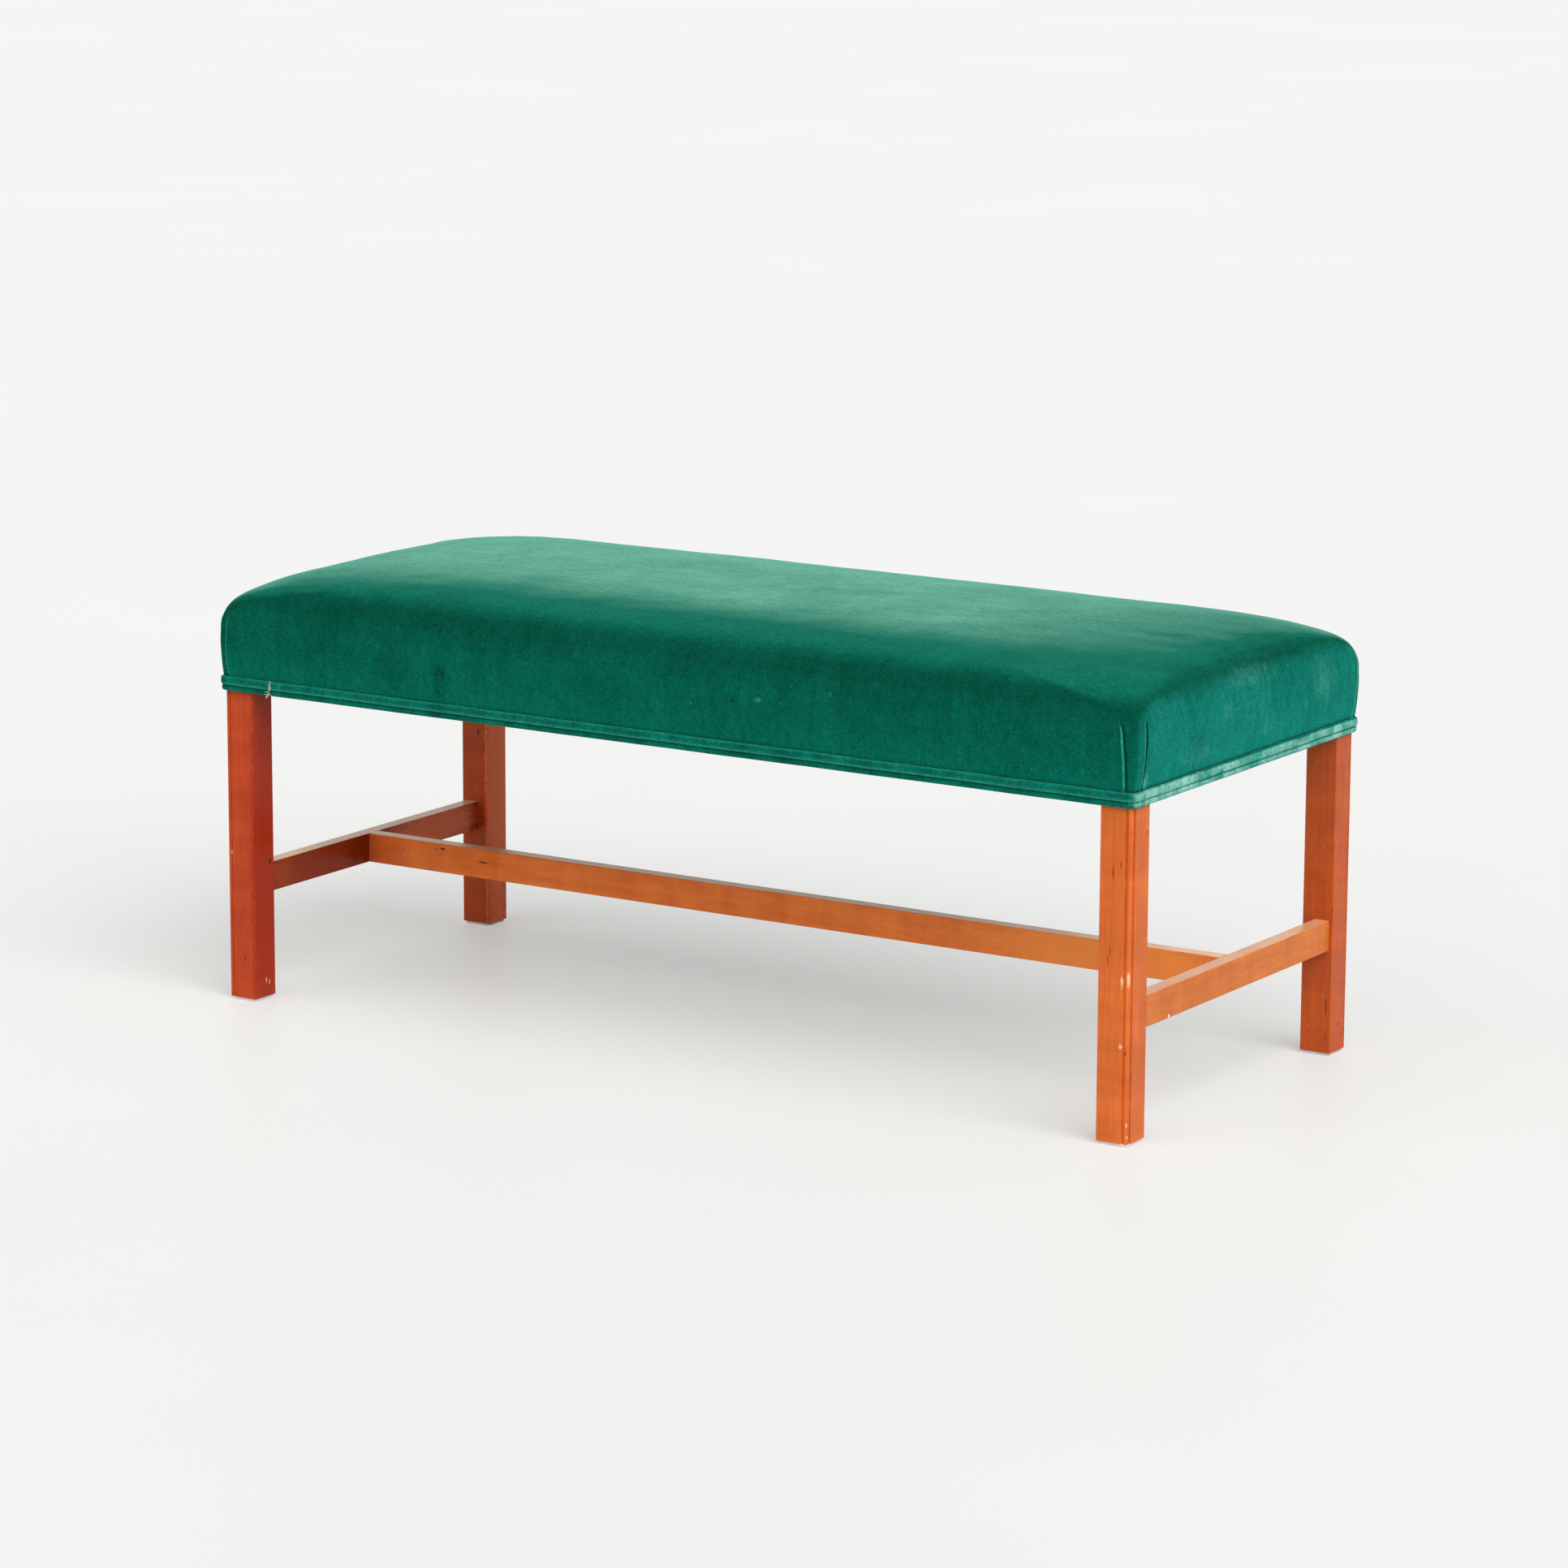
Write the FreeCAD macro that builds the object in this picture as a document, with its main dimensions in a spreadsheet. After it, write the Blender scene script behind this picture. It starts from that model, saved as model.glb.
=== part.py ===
"""Upholstered bench: a tenoned cherry frame on four beaded legs under a stuffed velvet seat.

X runs along the bench, with the right end at +X, Y runs from front (-Y) to back and Z is up.
The origin is on the floor, under the middle of the seat. Lengths are in millimetres.
"""
import FreeCAD
import Part
import Sketcher

import math
import os
import re

SIZES = [
    # legs and the pads under them
    ("leg_span_long", 1098, "outer face to outer face of the legs along the bench"),
    ("leg_span_short", 462, "outer face to outer face of the legs from front to back"),
    ("leg_side", 35, "side of the square leg"),
    ("bead_radius", 2.8, "bead on the outer corner of each leg"),
    ("bead_recess", 0.5, "bead set back behind the faces of the leg"),
    ("quirk_width", 1.1, "groove beside the bead, across the face"),
    ("quirk_depth", 2.2, "groove beside the bead, into the leg"),
    ("leg_easing", 0.8, "bevel on the plain corners of the leg"),
    ("pad_height", 3, "felt pad under each leg"),
    ("pad_side", 27, "side of the felt pad"),
    ("pad_corner", 3, "rounded corner of the felt pad"),
    # seat rails hidden under the cover
    ("rail_underside", 338, "lower edge of the seat rails above the floor"),
    ("rail_height", 58, "height of the seat rails"),
    ("rail_thickness", 24, "thickness of the seat rails"),
    ("rail_tenon_length", 16.5, "rail tenon, into the leg"),
    ("rail_tenon_thickness", 9, "rail tenon, across"),
    ("rail_tenon_low", 6, "rail tenon starts above the lower edge of the rail"),
    ("rail_tenon_high", 12, "rail tenon stops below the upper edge of the rail"),
    ("mortise_spare", 1, "room past the end of every tenon"),
    # brace across the middle of the seat frame
    ("brace_width", 30, "brace, along the bench"),
    ("brace_set_up", 6, "brace above the lower edge of the rails"),
    ("brace_set_down", 14, "brace below the upper edge of the rails, so that the webbing can sink"),
    ("brace_tenon_length", 12, "brace tenon, into the rail"),
    ("brace_shoulder", 7, "shoulder on each side of the brace tenon"),
    # stretchers between the legs
    ("stretcher_top", 143, "upper edge of the stretchers above the floor"),
    ("stretcher_height", 32, "height of the stretchers"),
    ("stretcher_thickness", 17, "thickness of the stretchers"),
    ("stretcher_setback", 4.5, "end stretchers behind the outer face of the legs"),
    ("stretcher_tenon_length", 20, "end stretcher tenon, into the leg"),
    ("stretcher_tenon_thickness", 8, "stretcher tenons, across"),
    ("stretcher_shoulder", 5, "shoulder above and below each stretcher tenon"),
    ("stretcher_easing", 1, "rounded long edges of the stretchers"),
    ("long_tenon_length", 11, "long stretcher tenon, into the end stretcher"),
    # corner blocks and their screws
    ("block_reach", 58, "corner block along each rail, past the leg"),
    ("block_tip", 10, "blunt end of the corner block"),
    ("block_set_up", 10, "corner block above the lower edge of the rails"),
    ("block_set_down", 14, "corner block below the upper edge of the rails"),
    ("screw_place", 48, "screw from the inner corner of the rails"),
    ("screw_seat", 12, "screw head from the inner face of the rail"),
    ("screw_length", 26, "screw under its head"),
    ("screw_diameter", 4, "screw shank"),
    ("screw_head_diameter", 8, "screw head"),
    ("screw_head_height", 2.4, "screw head"),
    ("screw_room", 0.2, "room round a screw, on the radius"),
    # webbing and the sheet over it
    ("web_width", 50, "webbing strip"),
    ("web_thickness", 1.4, "webbing strip"),
    ("web_margin", 6, "webbing ends inside the outer face of the rails"),
    ("web_flat", 5, "flat stretch past each crossing of two strips"),
    ("web_ramp", 15, "least slope between a rail and the first crossing"),
    ("cross_web_pitch", 110, "strips from front to back, one to the next"),
    ("long_web_pitch", 100, "strips along the bench, one to the next"),
    ("hessian_thickness", 1, "sheet over the webbing"),
    ("hessian_margin", 9, "sheet ends inside the outer face of the rails"),
    ("layer_gap", 0.2, "clearance between the soft layers"),
    # stuffing and cover
    ("seat_rise", 68, "crown of the seat above the rails"),
    ("swell_rise", 42.5, "height above the band where the sides of the seat are fullest"),
    ("swell_depth", 2.6, "sides of the seat fuller there than at the band"),
    ("cover_thickness", 2.4, "velvet with its lining"),
    ("cover_room", 0.4, "cover clear of the faces of legs and rails, at the band"),
    ("cover_low_corner", 5.5, "upright corner of the cover, at the band"),
    ("cover_full_corner", 11, "upright corner of the cover, where it is fullest"),
    ("wadding_thickness", 4.6, "wadding over the foam"),
    # band round the lower edge
    ("band_drop", 1.5, "lower edge of the band below the rails"),
    ("band_height", 15, "height of the band"),
    ("band_thickness", 2.4, "band proud of the cover"),
    # cloth under the seat
    ("dust_thickness", 0.8, "cloth under the seat"),
    ("dust_margin", 9, "cloth inside the outer face of the rails"),
    ("dust_room", 1, "cloth clear of the legs"),
]

# Upper part of the seat, from the fullest height to the crown. Each row is the share of that rise,
# the inset as a share of the half depth, the corner radius as a share of the half depth, and the
# angle by which the surface has turned from upright, in degrees.
SEAT_SHARES = [
    (0.200, 0.002, 0.052, 4),
    (0.371, 0.008, 0.060, 10),
    (0.514, 0.017, 0.127, 18),
    (0.614, 0.030, 0.210, 31),
    (0.700, 0.051, 0.300, 48),
    (0.786, 0.089, 0.364, 64),
    (0.871, 0.161, 0.440, 77),
    (0.943, 0.318, 0.475, 85),
    (0.986, 0.551, 0.400, 88),
    (1.000, 0.720, 0.250, 90),
]
# The ends of the seat slope in over a longer stretch than the front and back.
END_INSET_SHARE = 1.29
# The side swells quickly above the band: share of the swell reached half way up.
SWELL_SHARE = 0.65
# Top of a screw's rounded head, as a share of the head's diameter.
SCREW_CROWN_SHARE = 0.6

# Section of the band, two folded strips with a stitched groove between them. Each row is the share
# of its height and the share of its thickness.
BAND_SHARES = [
    (0.00, 0.35),
    (0.07, 0.75),
    (0.20, 0.90),
    (0.33, 0.80),
    (0.39, 0.40),
    (0.45, 0.80),
    (0.60, 1.00),
    (0.85, 1.00),
    (0.95, 0.75),
    (1.00, 0.35),
]

# Straight steps that round each upright corner of the soft layers.
CORNER_STEPS = 5

SIZE_NAME = re.compile(r"[a-z][a-z_]+")
ALONG_X = FreeCAD.Vector(1, 0, 0)
ALONG_Y = FreeCAD.Vector(0, 1, 0)
ALONG_Z = FreeCAD.Vector(0, 0, 1)

# Places that several pieces share, in the names of the sizes.
HALF_LONG = "leg_span_long / 2"
HALF_SHORT = "leg_span_short / 2"
RAIL_TOP = "(rail_underside + rail_height)"
BRACE_HEIGHT = "(rail_height - brace_set_up - brace_set_down)"
BLOCK_HEIGHT = "(rail_height - block_set_up - block_set_down)"
SEAT_TOP = f"({RAIL_TOP} + seat_rise)"
BAND_UNDERSIDE = "(rail_underside - band_drop)"
BAND_TOP = f"({BAND_UNDERSIDE} + band_height)"
FULL_HEIGHT = f"({BAND_TOP} + swell_rise)"
SWELL_HEIGHT = f"({BAND_TOP} + swell_rise / 2)"
LOW_OFFSET = "(cover_room + cover_thickness)"
FULL_OFFSET = f"({LOW_OFFSET} + swell_depth)"
SWELL_OFFSET = f"({LOW_OFFSET} + {SWELL_SHARE} * swell_depth)"
SWELL_CORNER = "(cover_low_corner + cover_full_corner) / 2"
WEB_TOP = f"({RAIL_TOP} + web_thickness + (web_thickness + layer_gap) / 2)"
HESSIAN_UNDERSIDE = f"({WEB_TOP} + layer_gap)"
FOAM_UNDERSIDE = f"({HESSIAN_UNDERSIDE} + hessian_thickness + layer_gap)"
WADDING_OUTSIDE = "(cover_thickness + layer_gap)"
WADDING_INSIDE = f"({WADDING_OUTSIDE} + wadding_thickness)"
FOAM_OUTSIDE = f"({WADDING_INSIDE} + layer_gap)"

doc = FreeCAD.newDocument("UpholsteredBench")
sheet = doc.addObject("Spreadsheet::Sheet", "Sizes")
for line, (alias, value, note) in enumerate(SIZES, start=1):
    sheet.set(f"A{line}", note)
    sheet.set(f"B{line}", str(value))
    sheet.setAlias(f"B{line}", alias)
doc.recompute()

size = {alias: float(sheet.get(alias)) for alias, _, _ in SIZES}
sub_parts = []


def bind(item, formulas):
    """Ties properties of item to the sizes. A formula is written in the names of the sizes."""
    for path, formula in formulas.items():
        item.setExpression(path, SIZE_NAME.sub(r"Sizes.\g<0>", formula))


def new_body(node):
    """A body whose shape becomes the sub-part called node."""
    body = doc.addObject("PartDesign::Body", node)
    body.Label = node
    sub_parts.append(body)
    return body


def mirror_of(source, node, normal):
    """The mirror image of a sub-part in the plane through the origin."""
    image = doc.addObject("Part::Mirroring", node)
    image.Label = node
    image.Source = source
    image.Normal = normal
    sub_parts.append(image)
    return image


def shape_part(node, shape):
    """A sub-part made of loose strips or fasteners."""
    item = doc.addObject("Part::Feature", node)
    item.Label = node
    item.Shape = shape
    item.Placement = FreeCAD.Placement()
    sub_parts.append(item)
    return item


def block(body, kind, name, low, lengths):
    """A box feature, added or cut away, from its low corner and its three lengths."""
    feature = body.newObject(f"PartDesign::{kind}Box", name)
    bind(feature, {"Length": lengths[0], "Width": lengths[1], "Height": lengths[2]})
    bind(feature, {"Placement.Base.x": low[0], "Placement.Base.y": low[1], "Placement.Base.z": low[2]})
    return feature


def drill(body, name, start, direction, radius, depth):
    """A round hole cut from start along direction."""
    hole = body.newObject("PartDesign::SubtractiveCylinder", name)
    hole.Placement = FreeCAD.Placement(FreeCAD.Vector(), FreeCAD.Rotation(ALONG_Z, direction))
    bind(hole, {"Radius": radius, "Height": depth})
    bind(hole, {"Placement.Base.x": start[0], "Placement.Base.y": start[1], "Placement.Base.z": start[2]})
    return hole


def edges_along(shape, direction):
    """Names of the straight edges of shape that run along direction."""
    names = []
    for number, edge in enumerate(shape.Edges, start=1):
        run = edge.Vertexes[-1].Point - edge.Vertexes[0].Point
        if run.cross(direction).Length < run.Length * 1e-6:
            names.append(f"Edge{number}")
    return names


def flat_sketch(body, name):
    """A sketch on the level plane of a body."""
    sketch = body.newObject("Sketcher::SketchObject", name)
    level = next(plane for plane in body.Origin.OriginFeatures if plane.Role == "XY_Plane")
    sketch.AttachmentSupport = [(level, "")]
    sketch.MapMode = "FlatFace"
    return sketch


def dimension(sketch, constraint, formula):
    """Adds a constraint whose value follows the sizes."""
    number = sketch.addConstraint(constraint)
    bind(sketch, {f"Constraints[{number}]": formula})


def rounded_rectangle(sketch, length, depth, corner):
    """A rectangle centred on the origin, with each corner rounded in a few straight steps."""
    half_x = size["leg_span_long"] / 2
    half_y = size["leg_span_short"] / 2
    radius = size["cover_full_corner"]
    turn = math.pi / 2 / CORNER_STEPS
    spots = []
    for quarter, (side_x, side_y) in enumerate(((1, 1), (-1, 1), (-1, -1), (1, -1))):
        centre = FreeCAD.Vector(side_x * (half_x - radius), side_y * (half_y - radius), 0)
        for step in range(CORNER_STEPS + 1):
            angle = quarter * math.pi / 2 + step * turn
            spots.append(centre + FreeCAD.Vector(math.cos(angle), math.sin(angle), 0) * radius)
    count = len(spots)
    sketch.addGeometry([Part.LineSegment(spots[number - 1], spots[number]) for number in range(count)])
    rules = []
    for number in range(count):
        rules.append(Sketcher.Constraint("Coincident", number, 2, (number + 1) % count, 1))
        quarter, step = divmod(number - 1, CORNER_STEPS + 1)
        if step == CORNER_STEPS:
            rules.append(Sketcher.Constraint("Vertical" if quarter % 2 else "Horizontal", number))
            continue
        heading = (quarter + 1) * math.pi / 2 + (step + 0.5) * turn
        rules.append(Sketcher.Constraint("Angle", number, math.remainder(heading, 2 * math.pi)))
        if number > 1:
            rules.append(Sketcher.Constraint("Equal", 1, number))
    opposite = 1 + count // 2
    rules.append(Sketcher.Constraint("Symmetric", 1, 1, opposite, 1, -1, 1))
    sketch.addConstraint(rules)
    step_share = 2 * math.sin(turn / 2)
    last = CORNER_STEPS
    dimension(sketch, Sketcher.Constraint("DistanceX", opposite, 1, 1, 1, 2 * half_x), length)
    dimension(sketch, Sketcher.Constraint("DistanceY", count // 2 + last, 2, last, 2, 2 * half_y), depth)
    step_length = f"{step_share:.6f} * ({corner})"
    dimension(sketch, Sketcher.Constraint("Distance", 1, step_share * radius), step_length)


def slice_form(name, slices):
    """A solid through level slices: each a height, offsets from the leg faces and a corner."""
    sketches = []
    for number, (height, offset_x, offset_y, corner) in enumerate(slices, start=1):
        sketch = doc.addObject("Sketcher::SketchObject", f"{name}Slice{number}")
        bind(sketch, {"Placement.Base.z": height})
        length = f"leg_span_long + 2 * ({offset_x})"
        depth = f"leg_span_short + 2 * ({offset_y})"
        rounded_rectangle(sketch, length, depth, corner)
        sketches.append(sketch)
    form = doc.addObject("Part::Loft", name)
    form.Sections = sketches
    form.Solid = True
    form.Ruled = True
    form.Linearize = True
    return form


def soft_part(node, form, rooms=()):
    """A soft sub-part: a form with rooms cut out of it, one after the other."""
    for number, room in enumerate(rooms, start=1):
        cut = doc.addObject("Part::Cut", f"{form.Name}Less{number}")
        cut.Base = form
        cut.Tool = room
        form = cut
    form.Label = node
    sub_parts.append(form)


def wall_slice(height, offset, corner):
    """A slice that stands the same distance out on all sides."""
    return (height, offset, offset, corner)


def crown_slices(depth):
    """The upper slices of the seat, at a depth below the face of the cover."""
    slices = []
    half = f"({HALF_SHORT} + {FULL_OFFSET})"
    for rise_share, inset_share, corner_share, turn in SEAT_SHARES:
        in_from_side = f"{math.cos(math.radians(turn)):.4f} * {depth}"
        down_from_top = f"{math.sin(math.radians(turn)):.4f} * {depth}"
        height = f"{FULL_HEIGHT} + {rise_share} * ({SEAT_TOP} - {FULL_HEIGHT}) - {down_from_top}"
        offset_x = f"{FULL_OFFSET} - {END_INSET_SHARE} * {inset_share} * {half} - {in_from_side}"
        offset_y = f"{FULL_OFFSET} - {inset_share} * {half} - {in_from_side}"
        corner = f"{corner_share} * {half} - {in_from_side}"
        slices.append((height, offset_x, offset_y, corner))
    return slices


def foot_slice(height, depth):
    """A slice of the cover's lower edge."""
    return wall_slice(height, f"{LOW_OFFSET} - {depth}", f"cover_low_corner - {depth}")


def swell_slices(depth):
    """The slices where the sides of the seat swell out, up to the fullest height."""
    return [
        wall_slice(SWELL_HEIGHT, f"{SWELL_OFFSET} - {depth}", f"{SWELL_CORNER} - {depth}"),
        full_slice(FULL_HEIGHT, depth),
    ]


def full_slice(height, depth):
    """A slice as wide as the seat is where it is fullest."""
    return wall_slice(height, f"{FULL_OFFSET} - {depth}", f"cover_full_corner - {depth}")


def leg_profile(sketch):
    """Square section with a bead between two grooves on the outer corner, which lies at +X and +Y."""
    side = size["leg_side"]
    shelf = side - size["quirk_depth"]
    face = side - size["bead_recess"] - 2 * size["bead_radius"] - size["quirk_width"]
    centre = side - size["bead_recess"] - size["bead_radius"]
    reach = math.sqrt(size["bead_radius"] ** 2 - (shelf - centre) ** 2)
    start_angle = math.atan2(-reach, shelf - centre)
    end_angle = math.atan2(shelf - centre, -reach)

    def line(first, last):
        sketch.addGeometry(Part.LineSegment(FreeCAD.Vector(*first, 0), FreeCAD.Vector(*last, 0)))

    line((0, 0), (side, 0))
    line((side, 0), (side, face))
    line((side, face), (shelf, face))
    line((shelf, face), (shelf, centre - reach))
    circle = Part.Circle(FreeCAD.Vector(centre, centre, 0), ALONG_Z, size["bead_radius"])
    sketch.addGeometry(Part.ArcOfCircle(circle, start_angle, end_angle))
    line((centre - reach, shelf), (face, shelf))
    line((face, shelf), (face, side))
    line((face, side), (0, side))
    line((0, side), (0, 0))
    for number in range(9):
        sketch.addConstraint(Sketcher.Constraint("Coincident", number, 2, (number + 1) % 9, 1))
    sketch.addConstraint(Sketcher.Constraint("Coincident", 0, 1, -1, 1))
    for number in (0, 2, 5, 7):
        sketch.addConstraint(Sketcher.Constraint("Horizontal", number))
    for number in (1, 3, 6, 8):
        sketch.addConstraint(Sketcher.Constraint("Vertical", number))
    for first, second in ((0, 8), (1, 7), (2, 6)):
        sketch.addConstraint(Sketcher.Constraint("Equal", first, second))
    dimension(sketch, Sketcher.Constraint("DistanceX", 0, 1, 0, 2, side), "leg_side")
    dimension(sketch, Sketcher.Constraint("DistanceY", 1, 1, 1, 2, face),
              "leg_side - bead_recess - 2 * bead_radius - quirk_width")
    dimension(sketch, Sketcher.Constraint("DistanceX", 2, 2, 2, 1, side - shelf), "quirk_depth")
    dimension(sketch, Sketcher.Constraint("Radius", 4, size["bead_radius"]), "bead_radius")
    bead_place = "leg_side - bead_recess - bead_radius"
    dimension(sketch, Sketcher.Constraint("DistanceX", -1, 1, 4, 3, centre), bead_place)
    dimension(sketch, Sketcher.Constraint("DistanceY", -1, 1, 4, 3, centre), bead_place)


def build_legs():
    """Four legs, mirror images of the rear right one, each with three mortises."""
    leg = new_body("leg_rear_right")
    profile = flat_sketch(leg, "LegProfile")
    leg_profile(profile)
    post = leg.newObject("PartDesign::Pad", "LegPost")
    post.Profile = profile
    bind(post, {"Length": f"{RAIL_TOP} - pad_height"})
    doc.recompute()
    plain = []
    for name in edges_along(post.Shape, ALONG_Z):
        spot = post.Shape.getElement(name).Vertexes[0].Point
        off_corner = [min(abs(at), abs(at - size["leg_side"])) for at in (spot.x, spot.y)]
        if max(off_corner) < size["leg_easing"] / 2:
            plain.append(name)
    easing = leg.newObject("PartDesign::Chamfer", "LegEasing")
    easing.Base = (post, plain)
    bind(easing, {"Size": "leg_easing"})
    deep = "rail_tenon_length + mortise_spare"
    tall = "rail_height - rail_tenon_low - rail_tenon_high"
    foot = "rail_underside + rail_tenon_low - pad_height"
    across = "leg_side - (rail_thickness + rail_tenon_thickness) / 2"
    block(leg, "Subtractive", "LongRailMortise", ("0", across, foot), (deep, "rail_tenon_thickness", tall))
    block(leg, "Subtractive", "EndRailMortise", (across, "0", foot), ("rail_tenon_thickness", deep, tall))
    across = "leg_side - stretcher_setback - (stretcher_thickness + stretcher_tenon_thickness) / 2"
    block(leg, "Subtractive", "StretcherMortise",
          (across, "0", "stretcher_top - stretcher_height + stretcher_shoulder - pad_height"),
          ("stretcher_tenon_thickness", "stretcher_tenon_length + mortise_spare",
           "stretcher_height - 2 * stretcher_shoulder"))
    bind(leg, {"Placement.Base.x": f"{HALF_LONG} - leg_side", "Placement.Base.y": f"{HALF_SHORT} - leg_side",
               "Placement.Base.z": "pad_height"})
    mirror_of(leg, "leg_rear_left", ALONG_X)
    front = mirror_of(leg, "leg_front_right", ALONG_Y)
    mirror_of(front, "leg_front_left", ALONG_X)


def build_foot_pads():
    """A felt pad stuck under the middle of each leg."""
    pad = new_body("foot_pad_rear_right")
    outline = flat_sketch(pad, "PadOutline")
    rounded_rectangle(outline, "pad_side", "pad_side", "pad_corner")
    felt = pad.newObject("PartDesign::Pad", "PadFelt")
    felt.Profile = outline
    bind(felt, {"Length": "pad_height"})
    bind(pad, {"Placement.Base.x": f"{HALF_LONG} - leg_side / 2",
               "Placement.Base.y": f"{HALF_SHORT} - leg_side / 2"})
    mirror_of(pad, "foot_pad_rear_left", ALONG_X)
    front = mirror_of(pad, "foot_pad_front_right", ALONG_Y)
    mirror_of(front, "foot_pad_front_left", ALONG_X)


def build_rails():
    """Front, rear and end rails, flush with the outer faces of the legs and tenoned into them."""
    tenon_foot = "rail_underside + rail_tenon_low"
    tenon_tall = "rail_height - rail_tenon_low - rail_tenon_high"
    tenon_back = "(rail_thickness + rail_tenon_thickness) / 2"
    screw_height = f"rail_underside + block_set_up + {BLOCK_HEIGHT} / 2"
    pilot_depth = "screw_length - screw_seat + mortise_spare"
    pilot_radius = "screw_diameter / 2 + screw_room"
    sides = (("High", "1"), ("Low", "-1"))

    rear = new_body("rail_rear")
    rear_face = f"{HALF_SHORT} - rail_thickness"
    block(rear, "Additive", "RearBar", (f"leg_side - {HALF_LONG}", rear_face, "rail_underside"),
          ("leg_span_long - 2 * leg_side", "rail_thickness", "rail_height"))
    block(rear, "Additive", "RearTenons",
          (f"leg_side - rail_tenon_length - {HALF_LONG}", f"{HALF_SHORT} - {tenon_back}", tenon_foot),
          ("leg_span_long - 2 * leg_side + 2 * rail_tenon_length", "rail_tenon_thickness", tenon_tall))
    block(rear, "Subtractive", "BraceMortise",
          ("brace_shoulder - brace_width / 2", rear_face,
           "rail_underside + brace_set_up + brace_shoulder"),
          ("brace_width - 2 * brace_shoulder", "brace_tenon_length + mortise_spare",
           f"{BRACE_HEIGHT} - 2 * brace_shoulder"))
    for name, side in sides:
        place = f"{side} * ({HALF_LONG} - rail_thickness - screw_place)"
        drill(rear, f"RearPilot{name}", (place, rear_face, screw_height), ALONG_Y, pilot_radius, pilot_depth)
    mirror_of(rear, "rail_front", ALONG_Y)

    right = new_body("rail_right")
    end_face = f"{HALF_LONG} - rail_thickness"
    block(right, "Additive", "EndBar", (end_face, f"leg_side - {HALF_SHORT}", "rail_underside"),
          ("rail_thickness", "leg_span_short - 2 * leg_side", "rail_height"))
    block(right, "Additive", "EndTenons",
          (f"{HALF_LONG} - {tenon_back}", f"leg_side - rail_tenon_length - {HALF_SHORT}", tenon_foot),
          ("rail_tenon_thickness", "leg_span_short - 2 * leg_side + 2 * rail_tenon_length", tenon_tall))
    for name, side in sides:
        place = f"{side} * ({HALF_SHORT} - rail_thickness - screw_place)"
        drill(right, f"EndPilot{name}", (end_face, place, screw_height), ALONG_X, pilot_radius, pilot_depth)
    mirror_of(right, "rail_left", ALONG_X)


def build_brace():
    """A brace from the front rail to the rear rail, set low so that the webbing can sink."""
    brace = new_body("cross_brace")
    low = "rail_underside + brace_set_up"
    block(brace, "Additive", "BraceBar", ("-brace_width / 2", f"rail_thickness - {HALF_SHORT}", low),
          ("brace_width", "leg_span_short - 2 * rail_thickness", BRACE_HEIGHT))
    block(brace, "Additive", "BraceTenons",
          ("brace_shoulder - brace_width / 2", f"rail_thickness - brace_tenon_length - {HALF_SHORT}",
           f"{low} + brace_shoulder"),
          ("brace_width - 2 * brace_shoulder", "leg_span_short - 2 * rail_thickness + 2 * brace_tenon_length",
           f"{BRACE_HEIGHT} - 2 * brace_shoulder"))


def eased_bar(body, name, low, lengths, direction):
    """A bar whose long edges are rounded."""
    bar = block(body, "Additive", f"{name}Bar", low, lengths)
    doc.recompute()
    easing = body.newObject("PartDesign::Fillet", f"{name}Easing")
    easing.Base = (bar, edges_along(bar.Shape, direction))
    bind(easing, {"Radius": "stretcher_easing"})
    return easing


def build_stretchers():
    """Two end stretchers tenoned into the legs and a long one tenoned into the end stretchers."""
    low = "stretcher_top - stretcher_height"
    tenon_tall = "stretcher_height - 2 * stretcher_shoulder"
    inner_face = f"{HALF_LONG} - stretcher_setback - stretcher_thickness"
    tenon_face = "(stretcher_thickness - stretcher_tenon_thickness) / 2"

    right = new_body("stretcher_right")
    clear_run = "leg_span_short - 2 * leg_side"
    eased_bar(right, "EndStretcher", (inner_face, f"leg_side - {HALF_SHORT}", low),
              ("stretcher_thickness", clear_run, "stretcher_height"), ALONG_Y)
    block(right, "Additive", "EndStretcherTenons",
          (f"{inner_face} + {tenon_face}", f"leg_side - stretcher_tenon_length - {HALF_SHORT}",
           f"{low} + stretcher_shoulder"),
          ("stretcher_tenon_thickness", f"{clear_run} + 2 * stretcher_tenon_length", tenon_tall))
    block(right, "Subtractive", "LongStretcherMortise",
          (inner_face, "-stretcher_tenon_thickness / 2", f"{low} + stretcher_shoulder"),
          ("long_tenon_length + mortise_spare", "stretcher_tenon_thickness", tenon_tall))
    mirror_of(right, "stretcher_left", ALONG_X)

    long = new_body("stretcher_long")
    tenon_end = f"({inner_face} + long_tenon_length)"
    eased_bar(long, "LongStretcher", (f"-({inner_face})", "-stretcher_thickness / 2", low),
              (f"2 * ({inner_face})", "stretcher_thickness", "stretcher_height"), ALONG_X)
    block(long, "Additive", "LongStretcherTenons",
          (f"-{tenon_end}", "-stretcher_tenon_thickness / 2", f"{low} + stretcher_shoulder"),
          (f"2 * {tenon_end}", "stretcher_tenon_thickness", tenon_tall))


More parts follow.
